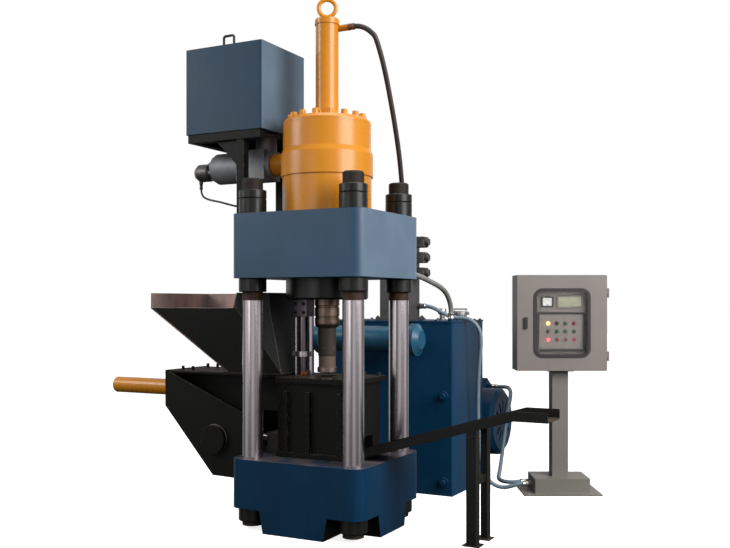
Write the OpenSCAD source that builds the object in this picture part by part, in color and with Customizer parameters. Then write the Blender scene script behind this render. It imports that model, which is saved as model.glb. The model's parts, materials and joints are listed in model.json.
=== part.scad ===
// Four-column hydraulic briquetting press for iron chips, with its hopper and feeder on the
// left, discharge chute on the right, power unit behind and a free-standing control cabinet.
// Millimetres, +Z up. The origin is on the floor under the press axis, +X is the discharge
// side and +Y is the power unit side.

/* [Press frame] */
// Column spacing from left to right
col_dx = 774; // [740:1:820]
// Column spacing from front to back
col_dy = 685; // [660:1:720]
// Column diameter
col_d = 142; // [120:1:160]
// From a column's axis to the left or right face of the base and the upper beam
edge_x = 117; // [112:1:130]
// From a column's axis to the front or back face of the base and the upper beam
edge_y = 117.5; // [112:0.5:130]
// Corner radius of the base and of the upper beam
frame_r = 90; // [60:1:110]
// Height of the base block
base_h = 480; // [440:1:520]
// Clear height between base and upper beam
daylight = 1214; // [1190:1:1260]
// Height of the upper beam
beam_h = 435; // [400:1:460]
// Height of the nut pockets under the base corners
notch_h = 150; // [130:1:170]
// Room between a column nut and the inner wall of its pocket
notch_room = 34; // [26:1:44]
// Diameter of the round column nuts
nut_d = 188; // [180:1:200]
// Height of the nuts under the beam and under the base
under_nut_h = 93; // [70:1:110]
// Height of the lower ring above the beam
top_nut_h = 104; // [80:1:120]
// Height of the locking ring above it
lock_ring_h = 58; // [40:1:70]
// Bare stud above the locking ring
stud_h = 80; // [50:1:100]

/* [Cylinder and ram] */
// Outside diameter of the main cylinder where it stands on the beam
cyl_d = 618; // [590:1:640]
// Bore of the main cylinder
cyl_bore = 440; // [410:1:460]
// Height of the cylinder wall above the beam
cyl_h = 623; // [610:1:660]
// Diameter of the neck that hangs through the beam
neck_d = 490; // [475:1:510]
// Diameter of the ram plunger
ram_d = 240; // [220:1:250]
// Diameter of the lock nut under the beam
cyl_nut_d = 570; // [550:1:600]
// Travel of the ram
ram_stroke = 330; // [300:1:335]
// Diameter of the quick-approach cylinder on top
quick_d = 159; // [150:1:170]
// Length of the quick-approach cylinder
quick_h = 700; // [680:1:740]
// Diameter of the punch head
punch_d = 136; // [120:0.5:140]
// Diameter of the punch holder
holder_d = 172; // [164:1:180]

/* [Die and slide] */
// Height of the die table above the base
table_h = 540; // [525:1:560]
// Thickness of the table plate
table_t = 35; // [25:1:40]
// Length of the die block from left to right
die_l = 562; // [540:1:600]
// Width of the die block from front to back
die_w = 440; // [420:1:480]
// Width of the feed channel
feed_w = 150; // [145:1:170]
// Height of the feed channel
feed_h = 195; // [170:1:205]
// Outside diameter of the die sleeve
sleeve_d = 240; // [220:1:260]
// Width of the anvil slide
slide_w = 229; // [200:1:240]
// Height of the anvil slide
slide_h = 107; // [90:1:110]
// Thickness of the wear plate under the slide
wear_t = 32; // [25:1:36]
// Travel of the anvil slide
slide_stroke = 160; // [150:1:180]

/* [Feeder] */
// Left end of the feed bracket, from the press axis
feed_end = 1214; // [1210:1:1240]
// Width over the bracket's side plates
bracket_w = 500; // [480:1:520]
// Travel of the feed pusher
feed_stroke = 550; // [520:1:555]
// Length of the feed pusher
pusher_l = 560; // [540:1:562]
// Diameter of the feed cylinder
feed_cyl_d = 120; // [110:1:130]
// Length of the feed cylinder
feed_cyl_l = 683; // [670:1:720]
// Length of the hopper's loading side
hopper_l = 742; // [720:1:760]
// Width of the hopper's loading side
hopper_w = 678; // [640:1:700]
// Height of the hopper's front lip above the die table
lip_h = 472; // [450:1:490]
// Height of the hopper's other walls above the lip
rim_h = 106; // [80:1:120]
// Sheet thickness of the hopper
hopper_t = 8; // [6:1:10]

/* [Chute] */
// Width of the discharge chute
chute_w = 270; // [250:1:290]
// Height of the chute's sides
chute_side = 62; // [50:1:75]
// Sheet thickness of the chute
chute_t = 6; // [4:1:8]
// Distance of the chute's bend from the press axis
chute_bend = 1384; // [1340:1:1420]
// Length of the level end of the chute
chute_flat = 216; // [180:1:240]
// Distance of the chute's legs from the press axis
leg_x = 1110; // [1060:1:1160]

/* [Prefill unit] */
// Length of the prefill tank
pre_l = 651; // [620:1:680]
// Width of the prefill tank
pre_w = 574; // [550:1:600]
// Height of the prefill tank
pre_h = 606; // [580:1:630]
// Height of the prefill tank's floor above the upper beam
pre_rise = 596; // [590:1:630]
// Height of the prefill port above the upper beam
port_rise = 381; // [370:1:395]

/* [Power unit] */
// Length of the oil tank
oil_l = 1200; // [1150:1:1250]
// Depth of the oil tank
oil_d = 700; // [690:1:715]
// Height of the oil tank
oil_h = 1383; // [1340:1:1420]
// Front face of the oil tank, behind the press axis
oil_y = 1200; // [1190:1:1208]
// Diameter of the oil cooler's shell
cooler_d = 204; // [190:1:215]
// Radius of the motor over its fins
motor_r = 290; // [270:1:292]
// Height of the motor shaft above the floor
motor_z = 480; // [460:1:500]

/* [Cabinet] */
// Width of the control cabinet
cab_w = 716; // [700:1:740]
// Height of the control cabinet
cab_h = 764; // [750:1:790]
// Depth of the control cabinet with its door
cab_d = 250; // [240:1:280]
// Height of the cabinet's underside above the floor
cab_z = 985; // [950:1:1010]
// Turn of the cabinet towards the operator
cab_turn = 27; // [20:1:35]
// Thickness of the door
door_t = 25; // [22:1:28]

/* [Hidden] */
$fn = 64;
// Gap between pieces that are fitted and stay still, and between pieces that slide
fit = 0.3;
run = 0.5;

frame_w = col_dx + 2 * edge_x;
frame_d = col_dy + 2 * edge_y;
notch_x = col_dx / 2 - nut_d / 2 - notch_room;
notch_y = col_dy / 2 - nut_d / 2 - notch_room;
beam_z = base_h + daylight;
beam_top = beam_z + beam_h;
cyl_top = beam_top + cyl_h;
nut_top = beam_top + top_nut_h;
ring_top = nut_top + lock_ring_h;
stud_top = ring_top + stud_h;

// Heights of the die, from the base upwards
table_z = base_h + table_h;
slide_z = base_h + wear_t;
die_z = slide_z + slide_h + run * 2;
block_top = table_z - table_t;
feed_floor = block_top - feed_h;
slide_axis = slide_z + run + slide_h / 2;
feed_axis = feed_floor + feed_h / 2;

// Die block's left and right faces
die_left = -262;
die_right = die_left + die_l;
// The feeder's plates and the gap that the hopper drops through
plate_t = 20;
deck_t = 16;
pusher_nose = -(punch_d / 2 + 14) - feed_stroke;
slot_left = pusher_nose + 12;
slot_right = -310;
trough_wall = 16;

// The cylinder's inside, from the neck to the cover
neck_drop = 94;
neck_z = beam_z - neck_drop;
cover_t = 38;
spigot_h = 32;
piston_h = 150;
cover_top = cyl_top + cover_t;
piston_top = cyl_top - spigot_h - 5;
bore_z = piston_top - piston_h - ram_stroke - 40;
quick_bore = 110;
quick_wall_top = 35;
quick_rod_d = 60;
cyl_nut_h = 144;
ram_z = beam_z - cyl_nut_h + 2;
gland_t = 40;

// The punch hangs just above the table
holder_h = 192;
punch_top = ram_z - holder_h;
punch_gap = 28;
punch_z = table_z + punch_gap;
die_bore = punch_d + 2 * 0.7;

// The strut beside the punch
strut_x = -190;
strut_d = 80;
strut_head_h = 118;

// Slide and shift cylinder along X
nose_r = punch_d / 2 + 2;
slide_nose = -nose_r - 3;
slide_l = 345;
slide_back = slide_nose - slide_l;
trunnion_x = -770;
trunnion_d = 80;
boss_d = 200;
boss_t = 36;
shift_d = 116;
shift_front = -600;
shift_back = -1000;
shift_rod_d = 44;

// Feeder along X
pusher_back = pusher_nose - pusher_l;
feed_rod_d = 50;
feed_wall = 12;

// Hopper plan, from the loading side to the nose between the columns
hop_right = -530;
hop_left = hop_right - hopper_l;
hop_nose = -345;
hop_nose_w = 400;
out_left = -740;
out_right = -285;
out_w = 280;
hop_z = table_z + deck_t;
lip_z = table_z + lip_h;

// Chute line
chute_start = die_right + fit;
chute_z = base_h + fit;
chute_end_z = 800;

// Prefill unit
pre_x = -1003;
pre_z = beam_top + pre_rise;
port_z = beam_top + port_rise;
post_s = 60;
post_y = 250;
post_foot = beam_top - 230;
rail_h = 60;
valve_d = 224;
valve_l = 514;
port_d = 160;
port_x = -420;
neck_pipe_d = 150;
neck_pipe_x = -500;

// Power unit
oil_right = 450;
oil_left = oil_right - oil_l;
cooler_y = oil_y - 236;
cooler_z = oil_h - 141;
cooler_left = -620;
cooler_right = 262;
cooler_cap_d = cooler_d + 46;
motor_y = oil_y + oil_d + motor_r + 40;
motor_right = 515;
motor_left = -200;
cowl_l = 190;
cowl_cone = 30;
bearing_d = 70;
bearing_l = 30;
fan_d = 480;
fan_l = 64;
fan_room = 84;
man_x = -205;
man_y = oil_y + 40;
man_w = 250;
man_d = 240;
man_h = 694;
valve_pitch = 126;

// Cabinet place and inside
cab_x = 1195;
cab_y = 1680;
sheet = 4;
win_w = cab_w - 290;
win_h = cab_h - 238;
win_r = 58;
gasket_w = 13;
gasket_t = 7;
glass_t = 4;
panel_y = door_t + 22;
panel_t = 5;
post_w = 132;
plinth_w = 440;
plinth_h = 118;
plinth_d = 330;
floor_w = 620;
floor_d = 420;
floor_t = 12;
hinge_x = cab_w / 2 + 11;
hinge_y = 13;
hinge_r = 9;
pin_r = 4;
knuckle_h = 50;
hinge_zs = [cab_z + 130, cab_z + cab_h - 130];
latch_x = 68 - cab_w / 2;
latch_w = 28;
latch_h = 92;
latch_axle = 12;
cab_mid = cab_z + cab_h / 2;
key_pitch_x = 69;
key_pitch_z = 65;
key_z = cab_mid - 5;
key_d = 30;
key_travel = 4;
frame_z = key_z - key_pitch_z;
frame_t = 10;

// Paints and metals
blue = [0.24, 0.36, 0.47];
deep_blue = [0.10, 0.26, 0.38];
yellow = [0.90, 0.60, 0.18];
black = [0.10, 0.10, 0.09];
dark = [0.22, 0.21, 0.20];
steel = [0.72, 0.72, 0.72];
warm_grey = [0.62, 0.60, 0.57];
conduit_grey = [0.50, 0.58, 0.64];

// Cord routes, from one end to the other
quick_hose_d = 36;
quick_hose_pts = [
    [150, 40, cover_top + 640], [190, 40, cover_top + 640], [235, 43, cover_top + 634],
    [277, 52, cover_top + 616], [310, 66, cover_top + 589], [332, 81, cover_top + 558],
    [346, 112, cover_top + 488], [355, 165, cover_top + 380], [359, 235, cover_top + 230],
    [360, 330, 2800], [356, 420, 2570], [342, 505, 2330], [324, 590, 2135],
    [298, 690, oil_h + 622], [248, 795, oil_h + 552], [180, 890, oil_h + 529],
    [105, 975, oil_h + 527], [42, 1055, oil_h + 527], [0, 1130, oil_h + 527],
    [-20, 1190, oil_h + 527], [-20, 1236, oil_h + 527]];
return_hose_d = 40;
return_hose_pts = [
    [360, 500, beam_z + 46], [360, 560, beam_z + 46], [366, 660, beam_z + 41],
    [378, 780, beam_z + 22], [394, 900, beam_z - 6], [408, 1007, beam_z - 34],
    [416, 1093, beam_z - 63], [420, 1152, oil_h + 215], [420, 1197, oil_h + 178],
    [420, 1226, oil_h + 142], [420, 1245, oil_h + 100], [420, 1251, oil_h + 54],
    [420, 1251, oil_h + 21]];
pilot_cable_d = 15;
pilot_cable_pts = [
    [-1080, 0, port_z - 94], [-1080, 0, port_z - 126], [-1068, -8, port_z - 170],
    [-1030, -26, port_z - 202], [-960, -46, port_z - 226], [-860, -60, port_z - 248],
    [-760, -55, beam_top + 106], [-660, -40, beam_top + 83], [-560, -20, beam_top + 61],
    [-480, 0, beam_top + 41], [-430, 0, beam_top + 31], [-380, 0, beam_top + 29],
    [-320, 0, beam_top + 29]];
tank_conduit_d = 34;
tank_conduit_pts = [
    [77, 1440, oil_h + 117], [115, 1440, oil_h + 117], [180, 1440, oil_h + 105],
    [250, 1442, oil_h + 72], [320, 1444, oil_h + 39], [380, 1446, oil_h + 25],
    [440, 1450, oil_h + 21], [497, 1452, oil_h + 10], [546, 1454, oil_h - 23],
    [578, 1458, oil_h - 71], [590, 1463, oil_h - 129], [588, 1470, 1180], [576, 1482, 1080],
    [560, 1498, 940], [548, 1516, 780], [540, 1538, 600], [538, 1562, 420], [546, 1584, 260],
    [572, 1602, 140], [618, 1612, 66], [680, 1620, 32], [744, 1630, 28], [804, 1637, 46],
    [858, 1655, 62], [912, 1682, 62]];
motor_conduit_d = 34;
motor_conduit_pts = [
    [356, 2410, 768], [400, 2410, 768], [460, 2398, 770], [520, 2360, 768], [565, 2290, 740],
    [588, 2210, 680], [592, 2130, 575], [592, 2078, 455], [591, 2032, 340], [590, 1992, 235],
    [590, 1955, 150], [592, 1926, 107], [599, 1885, 76], [613, 1837, 60], [646, 1782, 53],
    [700, 1744, 50], [765, 1734, 54], [826, 1750, 62], [866, 1770, 62]];

// Shared shapes

module rounded(w, d, r) {
    square([w - 2 * r, d], center = true);
    square([w, d - 2 * r], center = true);
    for (x = [-1, 1], y = [-1, 1])
        translate([x * (w / 2 - r), y * (d / 2 - r)]) circle(r);
}

module slab(w, d, r, z0, z1) {
    translate([0, 0, z0]) linear_extrude(z1 - z0) rounded(w, d, r);
}

module block(x0, x1, y0, y1, z0, z1) {
    translate([x0, y0, z0]) cube([x1 - x0, y1 - y0, z1 - z0]);
}

module rod_z(d, z0, z1) {
    translate([0, 0, z0]) cylinder(d = d, h = z1 - z0);
}

module rod_x(d, x0, x1) {
    translate([x0, 0, 0]) rotate([0, 90, 0]) cylinder(d = d, h = x1 - x0);
}

module rod_y(d, y0, y1) {
    translate([0, y0, 0]) rotate([-90, 0, 0]) cylinder(d = d, h = y1 - y0);
}

module at_columns() {
    for (x = [-1, 1], y = [-1, 1]) translate([x * col_dx / 2, y * col_dy / 2, 0]) children();
}

// A plate in the XZ plane between two depths
module upright(y0, y1) {
    translate([0, y1, 0]) rotate([90, 0, 0]) linear_extrude(y1 - y0) children();
}

// A plate in the YZ plane between two places along X
module crosswise(x0, x1) {
    translate([x0, 0, 0]) rotate([90, 0, 90]) linear_extrude(x1 - x0) children();
}

module at_cabinet() {
    translate([cab_x, cab_y, 0]) rotate([0, 0, cab_turn]) children();
}

// A round tube along a route: rings carried along without twist, closed at both ends
function last(v) = v[len(v) - 1];
function unit(v) = v / norm(v);
function heading(p, i) = unit(p[min(i + 1, len(p) - 1)] - p[max(i - 1, 0)]);
function square_to(t) = unit(cross(t, abs(t.z) < 0.9 ? [0, 0, 1] : [1, 0, 0]));
function side_at(p, i) = i == 0 ? square_to(heading(p, 0)) :
    let (t = heading(p, i), s = side_at(p, i - 1)) unit(s - (s * t) * t);
function ring_at(p, i, r, n) =
    let (t = heading(p, i), s = side_at(p, i), b = cross(t, s))
    [for (k = [0:n - 1]) p[i] + r * (cos(360 * k / n) * s + sin(360 * k / n) * b)];

module cord(p, d, n = 10) {
    last = len(p) - 1;
    points = [for (i = [0:last]) each ring_at(p, i, d / 2, n)];
    walls = [for (i = [0:last - 1], k = [0:n - 1])
        [i * n + k, (i + 1) * n + k, (i + 1) * n + (k + 1) % n, i * n + (k + 1) % n]];
    ends = [[for (k = [0:n - 1]) k], [for (k = [0:n - 1]) last * n + n - 1 - k]];
    polyhedron(points, concat(walls, ends), convexity = 6);
}

// Press frame

module base_block() {
    slant = 30;
    color(deep_blue) difference() {
        slab(frame_w, frame_d, frame_r, 0, base_h);
        for (x = [-1, 1], y = [-1, 1]) intersection() {
            upright(-frame_d, frame_d)
                polygon([[x * notch_x, notch_h], [x * (notch_x - slant), -1],
                    [x * frame_w, -1], [x * frame_w, notch_h]]);
            crosswise(-frame_w, frame_w)
                polygon([[y * notch_y, notch_h], [y * (notch_y - slant), -1],
                    [y * frame_d, -1], [y * frame_d, notch_h]]);
        }
        at_columns() rod_z(col_d - 3 + 2 * fit, notch_h - 1, base_h + 1);
    }
}

// Each column is polished between base and beam, and threaded at both ends
module columns() {
    thread_d = col_d - 3;
    thread_end = beam_z - under_nut_h - 52;
    color(steel) at_columns() {
        rod_z(thread_d, 25, base_h);
        rod_z(col_d, base_h, thread_end);
        rod_z(thread_d, thread_end, stud_top - 8);
        translate([0, 0, stud_top - 8]) cylinder(d1 = thread_d, d2 = thread_d - 16, h = 8);
    }
}

module ring_nut(z0, z1) {
    edge = 5;
    translate([0, 0, z0]) rotate_extrude()
        polygon([[(col_d - 3) / 2 + fit, 0], [nut_d / 2 - edge, 0], [nut_d / 2, edge],
            [nut_d / 2, z1 - z0 - edge], [nut_d / 2 - edge, z1 - z0], [(col_d - 3) / 2 + fit, z1 - z0]]);
}

module column_nuts() {
    color(black) at_columns() {
        ring_nut(notch_h - under_nut_h, notch_h);
        ring_nut(beam_z - under_nut_h, beam_z);
        ring_nut(beam_top, nut_top);
        ring_nut(nut_top, ring_top);
    }
}

module upper_beam() {
    color(blue) difference() {
        slab(frame_w, frame_d, frame_r, beam_z, beam_top);
        at_columns() rod_z(col_d - 3 + 2 * fit, beam_z - 1, beam_top + 1);
        rod_z(neck_d + 2 * fit, beam_z - 1, beam_top + 1);
    }
    color(blue) translate([return_hose_pts[0].x, 0, return_hose_pts[0].z])
        rod_y(return_hose_d + 14, frame_d / 2 - 1, return_hose_pts[0].y);
}

// Main cylinder, with its wide ring and the prefill port on the left

module main_cylinder() {
    r = cyl_d / 2;
    ring_z = beam_top + 263;
    ring_h = 153;
    upper_r = r - 4;
    color(yellow) difference() {
        union() {
            rotate_extrude() polygon([[0, neck_z], [neck_d / 2, neck_z], [neck_d / 2, beam_top],
                [r, beam_top], [r, ring_z], [r + 10, ring_z], [r + 10, ring_z + ring_h],
                [upper_r, ring_z + ring_h + 35], [upper_r, cyl_top], [0, cyl_top]]);
            translate([0, 0, port_z]) rod_x(port_d, port_x, -cyl_bore / 2);
            translate([0, 0, last(pilot_cable_pts).z]) rod_x(28, last(pilot_cable_pts).x + fit, 12 - r);
        }
        rod_z(cyl_bore, bore_z, cyl_top + 1);
        rod_z(ram_d + 2 * run, neck_z - 1, bore_z + 1);
        translate([0, 0, port_z]) rod_x(port_d - 70, port_x - 1, 0);
    }
}

module cylinder_nut() {
    r = cyl_nut_d / 2;
    z = beam_z - cyl_nut_h;
    color(black) rotate_extrude() polygon([[ram_d / 2 + run, z], [r - 12, z], [r, z + 12],
        [r, beam_z], [neck_d / 2 + fit, beam_z], [neck_d / 2 + fit, z + gland_t],
        [ram_d / 2 + run, z + gland_t]]);
}

// Cover with its spigot in the bore, ring of bolt heads and the bent lifting bar
module cylinder_cover() {
    r = cyl_d / 2 - 4;
    bolts = 16;
    bolt_d = 44;
    bolt_h = 34;
    bar_w = 86;
    bar_h = 66;
    bar_d = 16;
    color(yellow) {
        difference() {
            union() {
                rotate_extrude() polygon([[0, cyl_top - spigot_h], [cyl_bore / 2 - fit, cyl_top - spigot_h],
                    [cyl_bore / 2 - fit, cyl_top], [r, cyl_top], [r, cover_top - 22],
                    [r - 22, cover_top], [0, cover_top]]);
                for (i = [0:bolts - 1]) rotate([0, 0, 360 * (i + 0.5) / bolts])
                    translate([r - 52, 0, 0]) rod_z(bolt_d, cover_top - 1, cover_top + bolt_h);
            }
            rod_z(quick_rod_d + 2 * run, cyl_top - spigot_h - 1, cover_top + 1);
        }
        translate([0, -quick_d / 2 - 60, cover_top]) for (s = [-1, 1]) {
            angle = atan2(bar_w / 2 - 8, bar_h);
            intersection() {
                translate([s * bar_w / 2, 0, 0]) rotate([0, -s * angle, 0]) rod_z(bar_d, -20, bar_h + 8);
                block(-bar_w, bar_w, -bar_d, bar_d, -1, bar_h + 4);
            }
        }
    }
}

module quick_cylinder() {
    top = cover_top + quick_h;
    foot_d = quick_d + 56;
    foot_h = 26;
    port = quick_hose_pts[0];
    color(yellow) difference() {
        union() {
            rod_z(quick_d, cover_top, top);
            rod_z(foot_d, cover_top, cover_top + foot_h);
            rod_z(quick_d + 12, top - 40, top - 8);
            intersection() {
                translate([0, port.y, port.z]) rod_x(quick_hose_d + 8, 0, port.x);
                block(0, port.x, -quick_d, quick_d, cover_top, top);
            }
        }
        rod_z(quick_bore, cover_top - 1, top - quick_wall_top);
    }
}

module lifting_eye() {
    wire = 28;
    ring_d = 146;
    z = cover_top + quick_h;
    color(yellow) {
        rod_z(64, z, z + 14);
        translate([0, 0, z + ring_d / 2 + 6]) rotate([90, 0, cab_turn])
            rotate_extrude() translate([ring_d / 2 - wire / 2, 0]) circle(d = wire, $fn = 32);
    }
}

// Piston, plunger and the quick-approach rod turn as one forging
module ram() {
    small_top = cover_top + quick_h - quick_wall_top - 22;
    small_h = 46;
    color(steel) {
        rod_z(ram_d, ram_z, piston_top - piston_h);
        rod_z(cyl_bore - 2 * run, piston_top - piston_h, piston_top);
        rod_z(quick_rod_d, piston_top, small_top - small_h);
        rod_z(quick_bore - 2 * run, small_top - small_h, small_top);
    }
}

module punch_holder() {
    r = holder_d / 2;
    top = ram_z;
    color(steel) rotate_extrude() polygon([[0, punch_top], [r - 9, punch_top], [r, punch_top + 22],
        [r, punch_top + 62], [r - 5, punch_top + 66], [r - 5, punch_top + 74], [r, punch_top + 78],
        [r, top - 58], [r - 6, top - 54], [r - 6, top - 46], [r, top - 42], [r, top], [0, top]]);
}

module punch() {
    r = punch_d / 2;
    shaft = r - 5;
    waist = r - 9;
    color(dark) rotate_extrude() polygon([[0, punch_z], [r - 3, punch_z], [r, punch_z + 3],
        [r, punch_z + 34], [waist, punch_z + 38], [waist, punch_z + 112], [shaft, punch_z + 118],
        [shaft, punch_top], [0, punch_top]]);
}

// Strut between lock nut and die table, with its square head block
module hold_down_post() {
    head_w = 112;
    foot_d = strut_d + 8;
    foot_h = 16;
    z = beam_z - cyl_nut_h;
    color(black) translate([strut_x, 0, 0]) {
        rod_z(foot_d, table_z, table_z + foot_h);
        rod_z(strut_d, table_z + foot_h, z - strut_head_h);
        block(-head_w / 2, head_w / 2, -head_w / 2, head_w / 2, z - strut_head_h, z);
    }
}

// Grease line along the strut, held by a clamp
module lube_pipe() {
    pipe_d = 26;
    x = strut_x - 60;
    top = beam_z - cyl_nut_h - strut_head_h - 7;
    clamp_z = table_z + 132;
    clamp_h = 36;
    ring_d = 112;
    color(steel) difference() {
        union() {
            translate([x, 0, 0]) rod_z(pipe_d, table_z, top);
            translate([strut_x, 0, 0]) rod_z(ring_d, clamp_z, clamp_z + clamp_h);
            block(x - pipe_d / 2 - 8, x + 30, -22, 22, clamp_z, clamp_z + clamp_h);
        }
        translate([strut_x, 0, 0]) rod_z(strut_d + 2 * fit, clamp_z - 1, clamp_z + clamp_h + 1);
    }
}

// Die, table and slide

module die_block() {
    w = die_w / 2;
    chamber = feed_w / 2;
    rib_t = 30;
    rib_out = 26;
    color(black) difference() {
        union() {
            block(die_left, die_right, -w, w, base_h, block_top);
            for (x = [die_left + 60, -30, die_right - 90], y = [-1, 1])
                block(x, x + rib_t, y > 0 ? w - 1 : -w - rib_out, y > 0 ? w + rib_out : 1 - w,
                    base_h, block_top - 60);
            for (y = [-1, 1]) block(die_left, die_right, y > 0 ? w - 1 : -w - rib_out,
                y > 0 ? w + rib_out : 1 - w, base_h, base_h + 34);
        }
        block(die_left - 1, 0, -chamber, chamber, feed_floor, block_top + 1);
        rod_z(feed_w, feed_floor, block_top + 1);
        rod_z(sleeve_d + 2 * fit, die_z - 1, feed_floor);
        rod_z(die_bore + 4, feed_floor - 1, feed_floor + 1);
        block(die_left - 1, die_right + 1, -slide_w / 2 - run, slide_w / 2 + run, base_h - 1, die_z);
    }
}

module table_plate() {
    over = 30;
    color(black) difference() {
        block(die_left, die_right + over, -die_w / 2 - over, die_w / 2 + over, block_top, table_z);
        rod_z(feed_w, block_top - 1, table_z + 1);
    }
}

module die_sleeve() {
    color(steel) difference() {
        rod_z(sleeve_d, die_z, feed_floor - fit);
        rod_z(die_bore, die_z - 1, feed_floor + 1);
    }
}

module wear_plate() {
    color(dark) block(slide_back - 20, die_right, -slide_w / 2, slide_w / 2, base_h, base_h + wear_t);
}

// The slide's hollow nose fits round a briquette and pushes it towards the chute
module anvil_slide() {
    tip = slide_nose + nose_r;
    color(dark) difference() {
        block(slide_back, tip - 8, -slide_w / 2, slide_w / 2, slide_z + run, slide_z + run + slide_h);
        translate([tip, 0, 0]) rod_z(2 * nose_r, slide_z, slide_z + slide_h + 2);
    }
}

module shift_rod() {
    stub = 140;
    color(steel) translate([0, 0, slide_axis]) {
        rod_x(shift_rod_d, shift_front - slide_stroke - stub, slide_back);
        rod_x(shift_d - 20, shift_front - slide_stroke - stub - 30, shift_front - slide_stroke - stub);
    }
}

// Trunnion-mounted cylinder between the bracket plates
module shift_cylinder() {
    trunnion_block = 140;
    head_d = shift_d + 24;
    wall = 9;
    half = bracket_w / 2 + boss_t - 4;
    color(black) translate([0, 0, slide_axis]) difference() {
        union() {
            rod_x(shift_d, shift_back, shift_front);
            rod_x(head_d, shift_back - 30, shift_back + 20);
            rod_x(head_d, shift_front - 40, shift_front);
            translate([trunnion_x, 0, 0]) {
                rod_x(head_d, -trunnion_block / 2, trunnion_block / 2);
                rod_y(trunnion_d - 2 * fit, -half, half);
            }
        }
        rod_x(shift_d - 2 * wall, shift_back, shift_front - 40);
        rod_x(shift_rod_d + 2 * run, shift_front - 41, shift_front + 1);
    }
}

// Feeder

// Welded bracket: two gusset plates with trunnion bosses, end plate and flange on the base
module feed_bracket() {
    w = bracket_w / 2;
    base_x = -frame_w / 2;
    top = table_z + 19;
    low = feed_floor - 10;
    knee_x = -790;
    foot_z = 300;
    flange_h = 162;
    fall = 0.411;
    color(black) difference() {
        union() {
            for (y = [-w, w - plate_t]) upright(y, y + plate_t)
                polygon([[-feed_end, top], [-feed_end, low], [knee_x, foot_z + 8], [base_x, foot_z],
                    [base_x, top - fall * (feed_end + base_x)]]);
            block(-feed_end, plate_t - feed_end, -w, w, low, top);
            block(base_x - plate_t, base_x, -w, w, foot_z, foot_z + flange_h);
            translate([trunnion_x, 0, slide_axis]) {
                rod_y(boss_d, -w - boss_t, -w + 1);
                rod_y(boss_d, w - 1, w + boss_t);
            }
        }
        translate([trunnion_x, 0, slide_axis]) rod_y(trunnion_d, -w - boss_t + 3, w + boss_t - 3);
        translate([0, 0, feed_axis]) rod_x(feed_rod_d + 14, -feed_end - 1, plate_t - feed_end + 1);
    }
}

module feed_trough() {
    half = feed_w / 2;
    x0 = plate_t - feed_end;
    floor_t = 20;
    color(dark) difference() {
        block(x0, die_left, -half - trough_wall, half + trough_wall, feed_floor - floor_t, table_z);
        block(x0 - 1, die_left + 1, -half, half, feed_floor, table_z + 1);
    }
}

module deck_plate() {
    w = bracket_w / 2 - plate_t - fit;
    stud_d = 22;
    stud_h = 30;
    stud_y = 150;
    color(steel) difference() {
        union() {
            block(plate_t - feed_end, die_left - 6, -w, w, table_z, table_z + deck_t);
            for (x = [84, 174], y = [-stud_y, stud_y]) translate([x - feed_end, y, 0])
                rod_z(stud_d, table_z + 1, table_z + deck_t + stud_h);
        }
        block(slot_left, slot_right, -feed_w / 2, feed_w / 2, table_z - 1, table_z + deck_t + 1);
    }
}

// Plan of the hopper at its lip, drawn in by a margin
module hopper_plan(margin) {
    m = margin;
    polygon([[hop_left + m, -hopper_w / 2 + m], [hop_right - m * 0.3, -hopper_w / 2 + m],
        [hop_nose - m, -hop_nose_w / 2 + m * 0.6], [hop_nose - m, hop_nose_w / 2 - m * 0.6],
        [hop_right - m * 0.3, hopper_w / 2 - m], [hop_left + m, hopper_w / 2 - m]]);
}

module hopper_funnel(margin, low, high) {
    thin = 0.02;
    hull() {
        translate([0, 0, lip_z + high - thin]) linear_extrude(thin) hopper_plan(margin);
        translate([0, 0, hop_z + low]) linear_extrude(thin)
            translate([out_left + margin, -out_w / 2 + margin])
                square([out_right - out_left - 2 * margin, out_w - 2 * margin]);
    }
}

module hopper() {
    ease = 22;
    color(black) difference() {
        union() {
            hopper_funnel(0, 0, 0);
            translate([0, 0, lip_z - 0.02]) linear_extrude(rim_h) hopper_plan(0);
        }
        hopper_funnel(hopper_t, -0.1, 0.02);
        translate([0, 0, lip_z - 0.02]) linear_extrude(rim_h + 1) hopper_plan(hopper_t);
        upright(-hopper_w, -hopper_w / 2 + hopper_t + 1)
            polygon([[hop_left + hopper_t, lip_z], [hop_left + hopper_t, lip_z + rim_h + 1],
                [hop_right + 8, lip_z + rim_h + 1], [hop_right - ease, lip_z]]);
    }
}

// Pusher with a hollow nose that closes the feed chamber round the die
module feed_pusher() {
    half = feed_w / 2 - run;
    color(dark) difference() {
        block(pusher_back, pusher_nose, -half, half, feed_floor + run, block_top - run);
        translate([pusher_nose + 34, 0, 0]) rod_z(feed_w - 10, feed_floor, block_top);
    }
}

module feed_rod() {
    piston_l = 60;
    back = -feed_end - feed_cyl_l + 30;
    color(steel) translate([0, 0, feed_axis]) {
        rod_x(feed_rod_d, back + piston_l, pusher_back);
        rod_x(feed_cyl_d - 2 * feed_wall - 2 * run, back, back + piston_l);
    }
}

module feed_cylinder() {
    end = -feed_end - feed_cyl_l;
    flange_d = feed_cyl_d + 60;
    color(yellow) translate([0, 0, feed_axis]) difference() {
        union() {
            rod_x(feed_cyl_d, end + 10, -feed_end);
            translate([end, 0, 0]) rotate([0, 90, 0]) cylinder(d1 = feed_cyl_d - 16, d2 = feed_cyl_d, h = 10);
            rod_x(flange_d, -feed_end - 22, -feed_end);
        }
        rod_x(feed_cyl_d - 2 * feed_wall, end + 24, -feed_end - 30);
        rod_x(feed_rod_d + 2 * run, -feed_end - 31, -feed_end + 1);
    }
}

// Discharge chute

// Outline of the chute's floor line, moved up by a height
function chute_line(up) = [[chute_start, chute_z + up], [chute_bend, chute_end_z + up],
    [chute_bend + chute_flat, chute_end_z + up]];

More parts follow.
